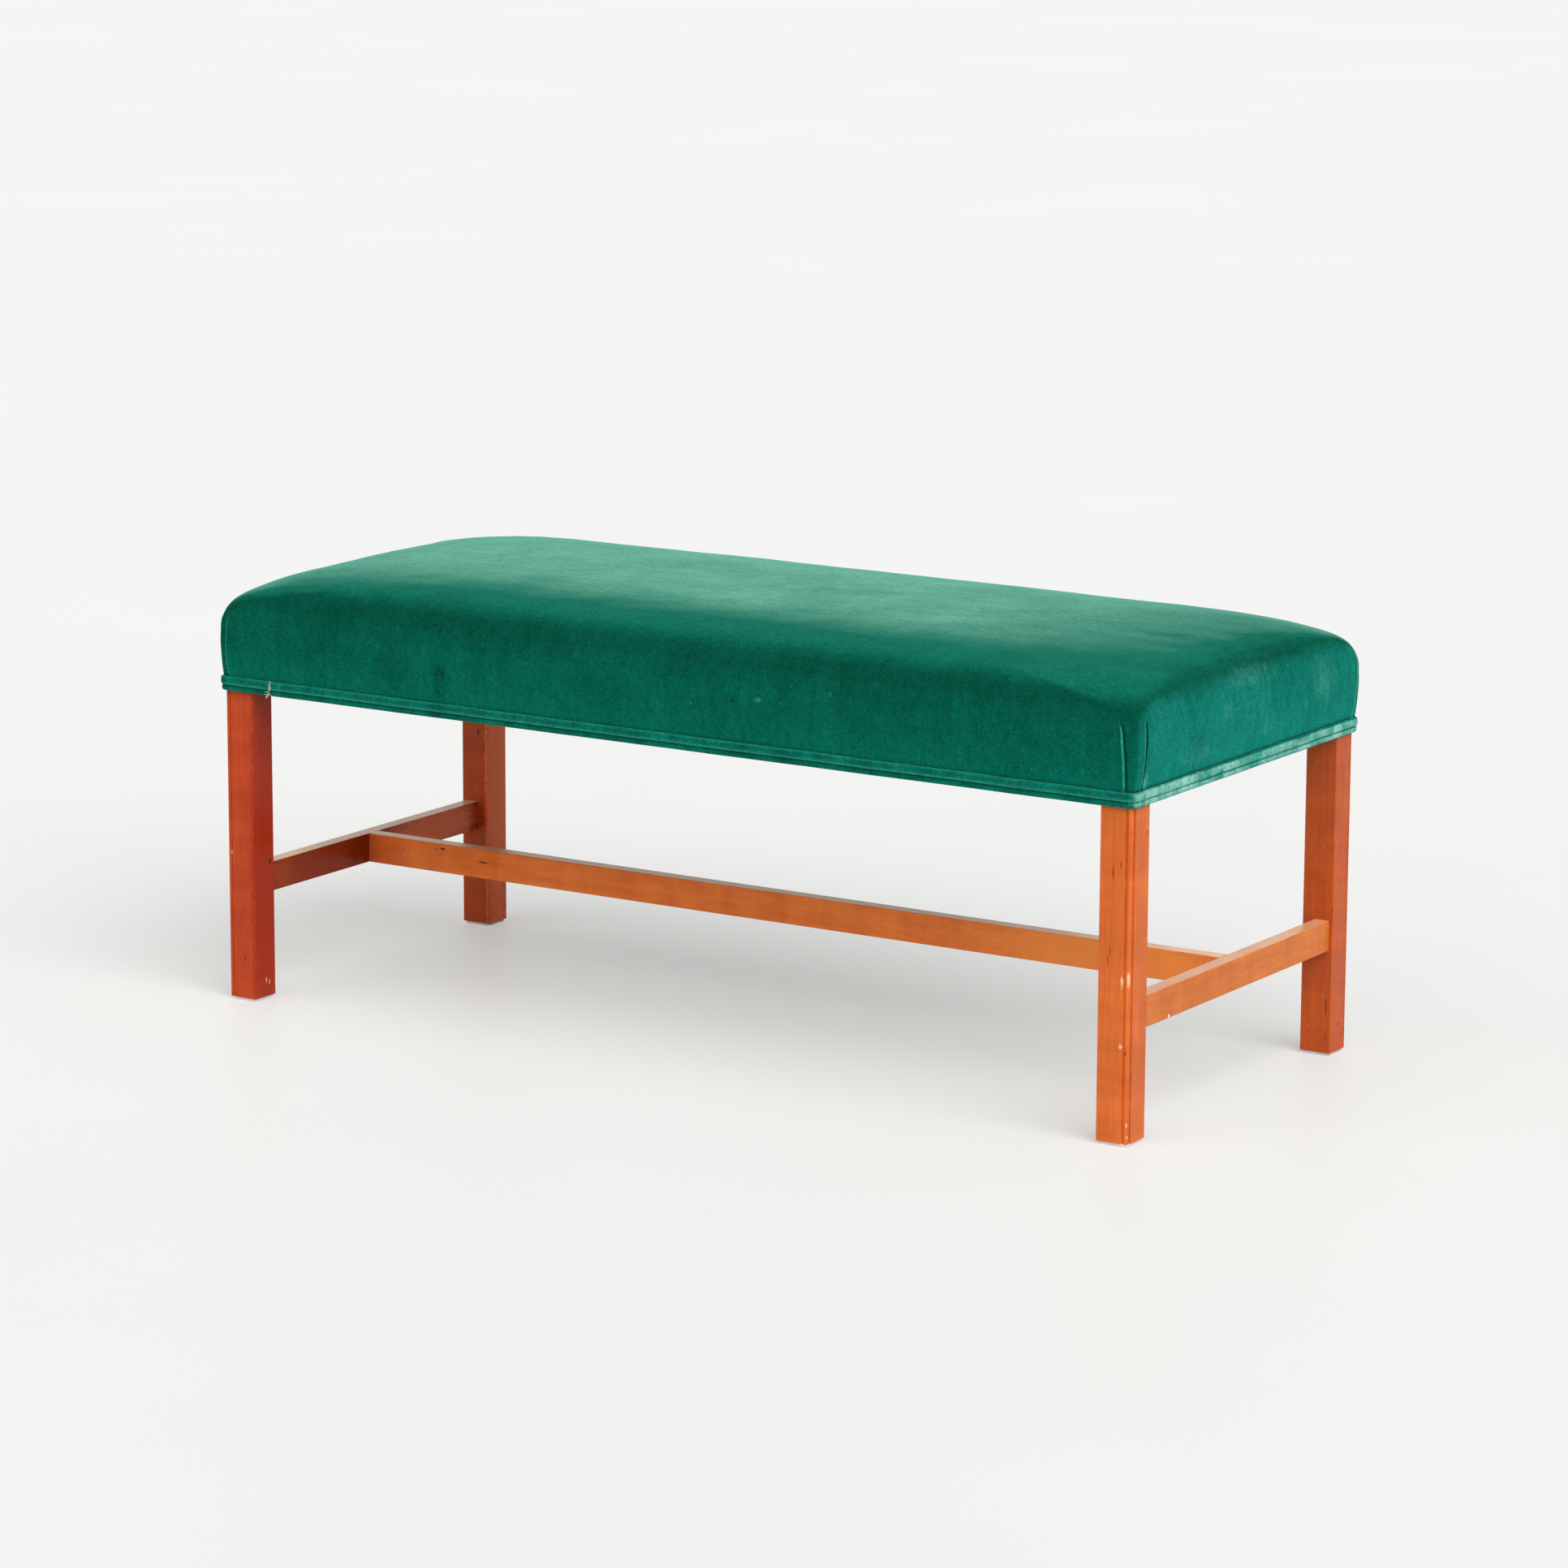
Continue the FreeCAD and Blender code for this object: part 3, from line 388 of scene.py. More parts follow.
def matted(name, light, dark, scale, depth):
    """Loose fibre or foam: a mottled, soft and rough surface."""
    material, _, shader, place = start_material(name)
    fibre = noise(place, scale, 5.0, 1.5)
    cloud = noise(place, scale * 0.08)
    tone = weighted((fibre, 0.7), (cloud, 0.3))
    plug(shader, Base_Color=mix(remap(tone, 0.36, 0.64), dark, light),
         Roughness=remap(fibre, *NOISE_SPAN, 0.85, 1.0), Normal=bump(fibre, depth, 0.8),
         Sheen_Weight=0.2)
    return material


def plated(name):
    """Zinc-plated steel, mottled and faintly brushed."""
    material, _, shader, place = start_material(name)
    cloud = noise(place, 260.0, 4.0)
    brushed = noise(stretch(place, (1, 1, 0.1)), 1600.0, 2.0)
    colour = mix(remap(cloud, 0.35, 0.65), (0.42, 0.42, 0.43), (0.62, 0.62, 0.6))
    rough = remap(brushed, *NOISE_SPAN, 0.28, 0.48)
    plug(shader, Base_Color=colour, Roughness=rough, Metallic=1.0)
    return material


def dress(material, *names):
    """Gives CAD nodes a material."""
    for name in names:
        slots = nodes[name].data.materials
        slots.clear()
        slots.append(material)


CHERRY_LIGHT = (0.82, 0.184, 0.036)
CHERRY_DARK = (0.66, 0.116, 0.02)
CHERRY_GOLD = (0.93, 0.232, 0.044)
CHERRY_AMBER = (0.76, 0.142, 0.022)
CHERRY_RED = (0.58, 0.072, 0.016)
CHERRY_DEEP = (0.45, 0.046, 0.01)
CHERRY_BROWN = (0.52, 0.078, 0.016)
CHERRY_UMBER = (0.43, 0.056, 0.009)
CHERRY_DUSK = (0.3, 0.033, 0.005)
CHERRY_PAINTED_SHADE = (0.355, 0.018, 0.003)
CHERRY_NIGHT = (0.18, 0.012, 0.001)
CHERRY_PAINTED_LIGHT = (0.97, 0.18, 0.05)
CHERRY_TAN = (0.8, 0.228, 0.042)
CHERRY_TAWNY = (0.65, 0.139, 0.021)
BEECH_LIGHT = (0.66, 0.48, 0.3)
BEECH_DARK = (0.55, 0.36, 0.2)

# Grain axis and shift, light and dark wood, scuffs and painted reflection on the top, and marks in
# millimetres
cherry_pieces = {
    # This leg's darker wood is partly its own tone and partly painted shade for the weaker light that reaches
    # it.
    "leg_front_left": (ALONG_Z, (0, 0, 0), CHERRY_RED, CHERRY_DEEP, TOP_MILD_SCUFF_AND_REFLECTION, [
        # Painted shade over the leg's inner side, under the seat.
        ((-514, -213.5, 160), (6, 30, 300), CHERRY_PAINTED_SHADE, 0.8),
        ((-514, -215, 283.4), (3, 1.4, 1.6), KNOT, 0.9),
        ((-514, -215.5, 270), (3, 1, 4.6), KNOT, 0.9),
        ((-514, -203.5, 149), (3, 2.6, 3.6), KNOT, 0.9),
        ((-527.2, -231, 47), (0.9, 3, 5), KNOT, 0.8),
        ((-543, -231, 160.5), (2, 3, 4), BARE, 0.8),
        ((-514, -212, 21), (3, 1.1, 4), PALE, 0.8),
        ((-514, -206.5, 18), (3, 1, 3), PALE, 0.7),
    ]),
    "leg_front_right": (ALONG_Z, (0.37, 0.81, 0.23), CHERRY_LIGHT, CHERRY_DARK, TOP_MILD_SCUFF_AND_REFLECTION, [
        ((540.5, -231, 164), (1.6, 3, 8), PALE, 0.8),
        ((547.8, -231, 167.2), (2.4, 3, 8.5), PALE, 0.9),
        ((540.1, -231, 100.3), (2.4, 3, 3.2), PALE, 0.8),
        ((544.6, -231, 93.7), (1.8, 3, 2.8), KNOT, 0.6),
        ((529.1, -231, 271.7), (0.8, 3, 7.8), KNOT, 0.8),
        ((537.5, -231, 279.4), (0.8, 3, 5.6), KNOT, 0.7),
        ((526.6, -231, 195), (0.7, 3, 7), KNOT, 0.6),
        ((524.4, -231, 184), (0.7, 3, 7), KNOT, 0.6),
        ((549, -200.3, 308.1), (3, 1.3, 2), KNOT, 0.8),
        ((547.5, -231, 22), (1, 3, 2.8), PALE, 0.8),
        ((548, -231, 10), (0.9, 3, 2.6), PALE, 0.9),
    ]),
    "leg_rear_right": (ALONG_Z, (0.74, 1.62, 0.46), CHERRY_DARK, CHERRY_BROWN, TOP_MILD_SCUFF_AND_REFLECTION, [
        ((543.1, 196, 52.9), (0.9, 3, 12), KNOT, 0.7),
        ((549, 213, 31), (3, 2.2, 1.6), KNOT, 0.7),
        ((543.2, 196, 20.1), (0.8, 3, 7), KNOT, 0.6),
    ]),
    "leg_rear_left": (ALONG_Z, (1.11, 2.43, 0.69), CHERRY_BROWN, CHERRY_UMBER, TOP_MILD_SCUFF_AND_REFLECTION, [
        # Painted light and reflection over the leg's inner side, under the seat.
        ((-514, 213.5, 160), (6, 30, 300), CHERRY_PAINTED_LIGHT, 0.8),
        ((-526.5, 196, 222), (2.2, 3, 4.5), KNOT, 0.8),
    ]),
    "stretcher_left": (ALONG_Y, (1.3, 0.4, 2.2), CHERRY_UMBER, CHERRY_DUSK, TOP_STRONG_SCUFF_AND_REFLECTION, [
        # Painted light on the rear of this stretcher, painted shade on its front and beside the long
        # stretcher.
        ((-527.5, 110, 127), (10, 95, 30), CHERRY_PAINTED_LIGHT, 0.75),
        ((-527.5, -80, 127), (10, 75, 30), CHERRY_DUSK, 0.85),
        ((-527.5, -20, 127), (10, 34, 30), CHERRY_NIGHT, 0.6),
    ]),
    "stretcher_right": (ALONG_Y, (2.6, 1.1, 0.7), CHERRY_TAN, CHERRY_TAWNY, TOP_MILD_SCUFF_AND_REFLECTION, [
        ((544.5, -142.9, 113), (3, 2, 2.4), CHIPPED, 0.95),
    ]),
    "stretcher_long": (ALONG_X, (0.9, 2.7, 1.6), CHERRY_GOLD, CHERRY_AMBER, TOP_STRONG_SCUFF_AND_REFLECTION, [
        ((400, -8.5, 127), (190, 6, 30), HONEY, 0.52),
        ((-522, -8.5, 127), (50, 6, 30), CHERRY_DEEP, 0.4),
        ((-428, -8.5, 137.6), (4, 3, 1.4), KNOT, 0.9),
        ((-436.5, -8.5, 136.2), (3, 3, 0.8), KNOT, 0.7),
        ((-374.2, -8.5, 129), (8, 3, 1), KNOT, 0.9),
    ]),
}
for name, (axis, shift, light, dark, top_scuff_and_reflection, marks) in cherry_pieces.items():
    dress(wood("cherry_" + name, axis, shift, light, dark, True, marks, top_scuff_and_reflection), name)

blocks = [name for name in nodes if name.startswith("corner_block_") and name != "corner_block_screws"]
dress(wood("beech_long", ALONG_X, (0.2, 0.5, 0.1), BEECH_LIGHT, BEECH_DARK, False), "rail_front", "rail_rear")
dress(wood("beech_short", ALONG_Y, (0.6, 0.3, 0.9), BEECH_LIGHT, BEECH_DARK, False),
      "rail_left", "rail_right", "cross_brace", *blocks)
steel = plated("zinc_plated_steel")
dress(steel, "corner_block_screws")
dress(woven("jute_webbing", (0.52, 0.39, 0.22), (0.3, 0.21, 0.11), pitch=0.0026, depth=0.0006),
      "webbing_crosswise", "webbing_lengthwise")
dress(woven("hessian_weave", (0.58, 0.45, 0.28), (0.28, 0.2, 0.11), pitch=0.0034, depth=0.0008),
      "hessian")
dress(matted("open_cell_foam", (0.82, 0.78, 0.58), (0.66, 0.6, 0.4), scale=700.0, depth=0.0008),
      "foam_pad")
dress(matted("fibre_wadding", (0.86, 0.85, 0.81), (0.72, 0.71, 0.67), scale=300.0, depth=0.0012),
      "wadding")
felt_material = matted("grey_felt", (0.94, 0.94, 0.95), (0.76, 0.76, 0.78), scale=1400.0, depth=0.0004)
thread_material = matted("thread_ends", (0.7, 0.74, 0.56), (0.34, 0.52, 0.36), scale=900.0, depth=0.0002)
dust_material = woven("black_dust_cloth", (0.055, 0.055, 0.056), (0.016, 0.016, 0.017),
                      pitch=0.0012, depth=0.0002)
seat_velvet = velvet(
    "emerald_velvet", deep=(0.0, 0.076, 0.045), bright=(0.0008, 0.122, 0.076),
    end_deep=(0.001, 0.146, 0.106), end_bright=(0.008, 0.236, 0.178), crowned=True, marks=[
        ((-262.5, -236, 375.5), (14, 8, 25), SMUDGE, 0.7),
        ((98.6, -236, 395), (6, 6, 4), SMUDGE, 0.7),
        ((126.4, -236, 398), (6, 6, 4), FRESH, 0.5),
        ((212, -236, 412), (2, 6, 3), FRESH, 0.6),
        ((552, -214, 362), (6, 6, 12), RUBBED, 0.5),
        ((554, -52, 404), (8, 10, 12), RUBBED, 0.22),
        ((554, 30, 372), (8, 14, 6), RUBBED, 0.16),
        ((552, 0, 432), (14, 50, 14), RUBBED, 0.14),
        ((554, 112, 384), (8, 4, 6), RUBBED, 0.22),
        ((554, 150, 402), (8, 30, 26), RUBBED, 0.16),
        ((554, -115, 370), (8, 34, 14), RUBBED, 0.14),
        ((554, -32.4, 441.4), (12, 2, 1), LINT, 0.7),
        ((554, 79.2, 428.3), (10, 1, 2), LINT, 0.7),
    ])
band_velvet = velvet(
    "emerald_velvet_band", deep=(0.0, 0.088, 0.056), bright=(0.001, 0.162, 0.108),
    end_deep=(0.034, 0.29, 0.226), end_bright=(0.27, 0.59, 0.49), crowned=False, marks=[
        ((556, -175, 345), (12, 85, 30), BAND_PALE, 0.4),
        ((556, 50, 345), (12, 55, 30), BAND_DEEP, 0.4),
    ])


# Rounded outlines

def smooth(where, at, values):
    """A monotone cubic curve through values at rising places."""
    step = np.diff(at)
    slope = np.diff(values) / step
    tangent = np.zeros(len(at))
    tangent[0] = slope[0]
    tangent[-1] = slope[-1]
    for i in range(1, len(at) - 1):
        if slope[i - 1] * slope[i] > 0:
            before = 2 * step[i] + step[i - 1]
            after = step[i] + 2 * step[i - 1]
            tangent[i] = (before + after) / (before / slope[i - 1] + after / slope[i])
    span = np.clip(np.searchsorted(at, where) - 1, 0, len(step) - 1)
    t = (where - at[span]) / step[span]
    low = values[span]
    high = values[span + 1]
    pull_low = tangent[span] * step[span]
    pull_high = tangent[span + 1] * step[span]
    return (low * (2 * t**3 - 3 * t**2 + 1) + pull_low * (t**3 - 2 * t**2 + t)
            + high * (3 * t**2 - 2 * t**3) + pull_high * (t**3 - t**2))


def side_spots(length, near, reach, far):
    """Shares along a straight side: close steps near both ends, wide steps between."""
    ends = np.arange(0, reach, near)
    between = np.linspace(reach, length - reach, int(round((length - 2 * reach) / far)) + 1)
    return np.concatenate([ends, between, (length - ends)[::-1][:-1]]) / length


# Steps round an outline: points on each corner's arc, the step near corners, its reach and the far step
SEAT_ROUND = (40, 0.0006, 0.0168, 0.0075)
COARSE_ROUND = (8, 0.006, 0.024, 0.012)
BAND_ROUND = (12, 0.003, 0.012, 0.0045)
STITCH_ROUND = (24, 0.001, 0.004, 0.001)
PAD_ROUND = (8, 0.001, 0.003, 0.0015)


def outline_spots(half_x, half_y, radius, steps):
    """Places round a rounded rectangle: whole numbers 2k start corner k, and 2k+1 the side after it."""
    arc_count, *side_steps = steps
    found = []
    for k in range(4):
        found.append(2 * k + np.arange(arc_count) / arc_count)
        half = half_x if k % 2 == 0 else half_y
        found.append(2 * k + 1 + side_spots(2 * (half - radius), *side_steps))
    return np.concatenate(found)


def outline(half_x, half_y, radius, spots):
    """Plan points and outward directions round a rounded rectangle, and each point's way from a corner."""
    radius = max(0.0, min(radius, half_x, half_y))
    part = np.floor(spots).astype(int)
    share = spots - part
    corner = part // 2
    on_arc = part % 2 == 0
    turn = np.where(on_arc, corner + share, corner + 1.0) * math.pi / 2
    signs = np.array([(1, 1), (-1, 1), (-1, -1), (1, -1)], float)
    centres = signs * (half_x - radius, half_y - radius)
    following = (corner + 1) % 4
    blend = np.where(on_arc, 0.0, share)[:, None]
    centre = centres[corner] * (1 - blend) + centres[following] * blend
    direction = np.stack([np.cos(turn), np.sin(turn)], axis=1)
    length = np.where(corner % 2 == 0, 2 * (half_x - radius), 2 * (half_y - radius))
    quarter = math.pi / 4 * radius
    onward = quarter + length * share
    back = -(quarter + length * (1 - share))
    way = np.where(on_arc, (share - 0.5) * 2 * quarter, np.where(share < 0.5, onward, back))
    return centre + direction * radius, direction, way


def ring_faces(starts, count):
    """Quads from ring to ring, each ring given by its first point and closed round."""
    found = []
    for low, high in zip(starts, starts[1:]):
        for i in range(count):
            j = (i + 1) % count
            found.append((low + i, low + j, high + j, high + i))
    return found


def closed_faces(rings, count):
    """Quads from ring to ring, and one face over each end."""
    last = (rings - 1) * count
    ends = [tuple(reversed(range(count))), tuple(range(last, last + count))]
    return ring_faces(range(0, last + 1, count), count) + ends


def show(name, data):
    """A new object in the scene."""
    thing = bpy.data.objects.new(name, data)
    scene.collection.objects.link(thing)
    return thing


def make_piece(name, points, faces, material, slot, merge=None, painted_fold_shadings=None):
    """A mesh piece in the shared frame, riding on the bench. Its fold values paint highlights on crests and
    shade in slits.
    """
    mesh = bpy.data.meshes.new(name)
    mesh.from_pydata([tuple(p) for p in points], [], faces)
    if painted_fold_shadings is not None:
        mesh.attributes.new("painted_fold_shading", "FLOAT", "POINT").data.foreach_set("value", np.asarray(painted_fold_shadings, float))
    if merge is not None:
        work = bmesh.new()
        work.from_mesh(mesh)
        bmesh.ops.remove_doubles(work, verts=work.verts, dist=merge)
        bmesh.ops.recalc_face_normals(work, faces=work.faces)
        work.to_mesh(mesh)
        work.free()
    mesh.shade_smooth()
    mesh.materials.append(material)
    piece = show(name, mesh)
    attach(piece, "root")
    return piece


def ripple(points, length, phase):
    """Smooth uneven values between about -1 and 1, the same each time."""
    x, y, z = (points[:, i] * 2 * math.pi / length for i in range(3))
    return (np.sin(x * 1.0 + 0.7 * np.sin(y * 0.9 + phase) + phase)
            + np.sin(y * 1.3 + 0.8 * np.sin(z * 1.1 + x * 0.6) + 2.1 * phase)
            + np.sin(x * 0.47 - y * 0.71 + z * 0.9 + 3.7 * phase)) / 3


def waves(points, *sizes):
    """Ripples added up, each given by its height, length and phase."""
    return sum(height * ripple(points, length, phase) for height, length, phase in sizes)


# Velvet seat

cover_low, cover_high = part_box("velvet_cover")
band_low, band_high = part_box("velvet_band")
leg_low, leg_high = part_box("leg_front_right")
SEAT_X = float(cover_high[0])
SEAT_Y = float(cover_high[1])
SEAT_FOOT = float(cover_low[2])
SEAT_CROWN = float(cover_high[2])
BAND_TOP = float(band_high[2])
# How much further the ends lean in than the long sides
END_INSET = 1.29
SWELL = {
    "quality": 6, "mass": 0.3, "use_pressure": True, "uniform_pressure_force": 0.1, "tension_stiffness": 25.0,
    "compression_stiffness": 25.0, "shear_stiffness": 10.0, "bending_stiffness": 0.8, "air_damping": 4.0,
    "vertex_group_mass": "pins",
}
SWELL_FRAMES = 20
SWELL_CAP = 0.006
SKIN = 0.0021

# Height share, inset share of the half depth, corner share of the half depth
SECTION = [
    (0.0, 0.011, 0.024), (0.107, 0.011, 0.024), (0.15, 0.007, 0.032), (0.278, -0.0015, 0.05),
    (0.444, -0.007, 0.066), (0.556, -0.007, 0.073), (0.651, 0.001, 0.086), (0.732, 0.012, 0.128),
    (0.788, 0.0272, 0.195), (0.834, 0.049, 0.305), (0.879, 0.088, 0.405), (0.921, 0.162, 0.52),
    (0.95, 0.318, 0.57), (0.969, 0.551, 0.43), (0.976, 0.72, 0.27), (0.979, 1.0, 0.0),
]
# Rows of the section where the steps between rings change, and the steps from each to the next
STEP_ROWS = (0, 1, 6, 10, 12, -1)
FINE_STEPS = (0.007, 0.0042, 0.0026, 0.005, 0.009)
LINING_STEPS = (0.014, 0.03, 0.008, 0.025, 0.05)
COARSE_STEPS = (0.014, 0.009, 0.0055, 0.009, 0.014)


def way_along(height, inset):
    """How far each ring lies along the section, from the foot."""
    return np.concatenate([[0], np.cumsum(np.hypot(np.diff(height), np.diff(inset)))])


def seat_rows(steps):
    """Heights, insets and corner radii of the seat's rings, evenly spaced within the given steps."""
    height, inset, corner = np.array(SECTION).T * [[SEAT_CROWN - SEAT_FOOT], [SEAT_Y], [SEAT_Y]]
    height += SEAT_FOOT
    way = way_along(height, inset)
    marks = [way[row] for row in STEP_ROWS]
    places = [np.array([0.0])]
    for start, end, step in zip(marks, marks[1:], steps):
        places.append(np.linspace(start, end, int(math.ceil((end - start) / step)) + 1)[1:])
    places = np.concatenate(places)
    return [smooth(places, way, values) for values in (height, inset, corner)]


def seat_surface(rows, spots, skin=0.0):
    """Points, outward directions and ways from the corners for each ring of the seat, inset by the skin."""
    height, inset, corner = rows
    rise = np.gradient(height)
    run = np.gradient(inset)
    length = np.hypot(rise, run)
    points, ways, outs = [], [], []
    for z, d, r, up, inward in zip(height, inset, corner, rise / length, run / length):
        lean = skin * up
        plan, out, way = outline(max(0.0, SEAT_X - END_INSET * d - lean), max(0.0, SEAT_Y - (d + lean)),
                                 max(0.0, r - lean), spots)
        points.append(np.column_stack([plan, np.full(len(plan), z - skin * inward)]))
        outs.append(np.column_stack([out * up, np.full(len(plan), inward)]))
        ways.append(way)
    return np.array(points), np.array(outs), np.array(ways)


def swollen(points):
    """How far each point of a coarse seat moves when the cover is blown against its stuffing."""
    rings, count, _ = points.shape
    joined, place = np.unique(np.round(points.reshape(-1, 3), 5), axis=0, return_inverse=True)
    place = place.ravel()
    quads = ring_faces(range(0, rings * count, count), count)
    faces = [tuple(dict.fromkeys(int(place[i]) for i in quad)) for quad in quads]
    mesh = bpy.data.meshes.new("swell")
    mesh.from_pydata([tuple(p) for p in joined], [], [face for face in faces if len(face) > 2])
    form = show("swell", mesh)
    pins = form.vertex_groups.new(name="pins")
    pins.add([int(i) for i in np.nonzero(joined[:, 2] < BAND_TOP)[0]], 1.0, "REPLACE")
    cloth = form.modifiers.new("Cloth", "CLOTH")
    for setting, value in SWELL.items():
        setattr(cloth.settings, setting, value)
    cloth.settings.effector_weights.gravity = 0.0
    cloth.collision_settings.use_collision = False
    cloth.point_cache.frame_start = 1
    cloth.point_cache.frame_end = SWELL_FRAMES
    for number in range(1, SWELL_FRAMES + 1):
        scene.frame_set(number)
    shown = form.evaluated_get(bpy.context.evaluated_depsgraph_get()).data
    moved = np.empty(len(joined) * 3)
    shown.vertices.foreach_get("co", moved)
    scene.frame_set(1)
    bpy.data.objects.remove(form)
    bpy.data.meshes.remove(mesh)
    moved = moved.reshape(-1, 3) - joined
    size = np.linalg.norm(moved, axis=1, keepdims=True)
    moved *= np.minimum(1.0, SWELL_CAP / np.maximum(size, 1e-9))
    return moved[place].reshape(rings, count, 3)


def spread(moved, rows_from, spots_from, rows_to, spots_to):
    """Carries movements from a coarse seat to a fine one, by ring height order and place round the ring."""
    ring_from, ring_to = [way_along(rows[0], rows[1]) for rows in (rows_from, rows_to)]
    ring_from /= ring_from[-1]
    ring_to /= ring_to[-1]
    across = np.apply_along_axis(lambda row: np.interp(spots_to, spots_from, row, period=8.0), 1, moved)
    return np.apply_along_axis(lambda column: np.interp(ring_to, ring_from, column), 0, across)


# Pleat: its edges and where they fade, the reach of the painted shadow in the tuck above the band, then half
# widths and depths at four heights
PLEAT_TOP = 0.423
PLEAT_FADE = 0.012
PLEAT_LIP = 0.0015
PLEAT_STEP = 0.0012
PANEL_FALL = 0.0085
LIP_FALL = 0.006
END_LIP = 0.0007
END_RIDGE = 0.0005
TUCK_SHADOW_REACH = 0.0034
PLEAT_LEVELS = (BAND_TOP, 0.375, 0.4, PLEAT_TOP)
HALF_LONG = (0.0084, 0.0098, 0.012, 0.0128)
HALF_END = (0.0128, 0.0144, 0.0152, 0.0148)
PLEAT_DEPTH = (0.0013, 0.0022, 0.0026, 0.0026)


def bell(place, middle, width):
    """A smooth hump, 1 at its middle."""
    return np.exp(-(((place - middle) / width) ** 2))


def pleat(way, outs, height):
    """The box pleat at each corner: the rise of its sunk panel and folds, with painted highlights on their
    crests and painted shade in their slits.
    """
    endward = outs[:, :, 0] ** 2 / np.maximum(outs[:, :, 0] ** 2 + outs[:, :, 1] ** 2, 1e-9)
    half_long = np.interp(height, PLEAT_LEVELS, HALF_LONG)
    half_end = np.interp(height, PLEAT_LEVELS, HALF_END)
    half = half_long + (half_end - half_long) * endward
    depth = np.interp(height, PLEAT_LEVELS, PLEAT_DEPTH)
    fade = np.clip((PLEAT_TOP - height) / PLEAT_FADE, 0, 1)
    fade = fade * fade * (3 - 2 * fade)
    past = np.abs(way) - half
    on_end = np.clip((endward - 0.25) / 0.5, 0, 1)
    on_long = 1 - on_end
    sunk = np.clip(0.5 - past / PLEAT_STEP, 0, 1) * np.exp(-np.clip(-past, 0, None) / PANEL_FALL)
    lip = np.clip(0.5 + past / PLEAT_STEP, 0, 1) * np.exp(-np.clip(past, 0, None) / LIP_FALL)
    over_panel = PLEAT_LIP * lip - depth * sunk
    ridge = END_RIDGE * bell(past, -0.0019, 0.0014)
    beside_panel = ridge + END_LIP * lip - depth * bell(past, 0.0003, 0.0009)
    rise = fade * (on_long * over_panel + on_end * beside_panel)
    # Painted highlights on the crests, and painted shade in the slits, over the panel and in the tuck above
    # the band.
    crest_highlights = on_long * bell(past, 0.0006, 0.0008) + 1.6 * on_end * bell(past, -0.0016, 0.0011)
    upper = np.clip((height - 0.372) / 0.03, 0.35, 1)
    slit_shades = on_long * bell(past, -0.0009, 0.0008) + 1.5 * on_end * upper * bell(past, 0.0006, 0.0013)
    shade = 0.2 * np.clip(0.5 - past / 0.004, 0, 1)
    tuck_shadow = np.clip(1 - np.abs(height - BAND_TOP) / TUCK_SHADOW_REACH, 0, 1) * (0.4 + 0.3 * endward)
    return rise, np.clip(fade * (crest_highlights - 1.3 * slit_shades - shade) - tuck_shadow, -1, 1)


# How near the cover lies to its stuffing, and how far it is looked for
STUFFING_GAP = 0.0008
STUFFING_REACH = 0.012


def stuffing():
    """A search tree over the solids that the cover lies against."""
    points, faces = [], []
    for name in ["wadding"] + [name for name in nodes if name.startswith(("leg_", "rail_"))]:
        first = len(points)
        points.extend(vertex.co.copy() for vertex in nodes[name].data.vertices)
        faces.extend([first + i for i in face.vertices] for face in nodes[name].data.polygons)
    return BVHTree.FromPolygons(points, faces)


def pressed_out(points):
    """Points moved out of the stuffing where they would sink into it."""
    tree = stuffing()
    flat = points.reshape(-1, 3).copy()
    for i, point in enumerate(flat):
        place, normal, _, _ = tree.find_nearest(Vector(point), STUFFING_REACH)
        if place is None:
            continue
        short = STUFFING_GAP - (Vector(point) - place).dot(normal)
        if short > 0:
            flat[i] += np.array(normal) * short
    return flat.reshape(points.shape)


# Height, length and phase of the cover's lumps, and the place, reach, depth and lowest level of a hollow
LUMPS = [(0.00045, 0.165, 0.4), (0.00022, 0.062, 1.9)]
LUMPS_FADE = 0.02
HOLLOW_X, HOLLOW_Y = -0.38, 0.13
HOLLOW_REACH_X, HOLLOW_REACH_Y = 0.16, 0.11
HOLLOW_DEPTH = 0.0018
HOLLOW_FLOOR = 0.43


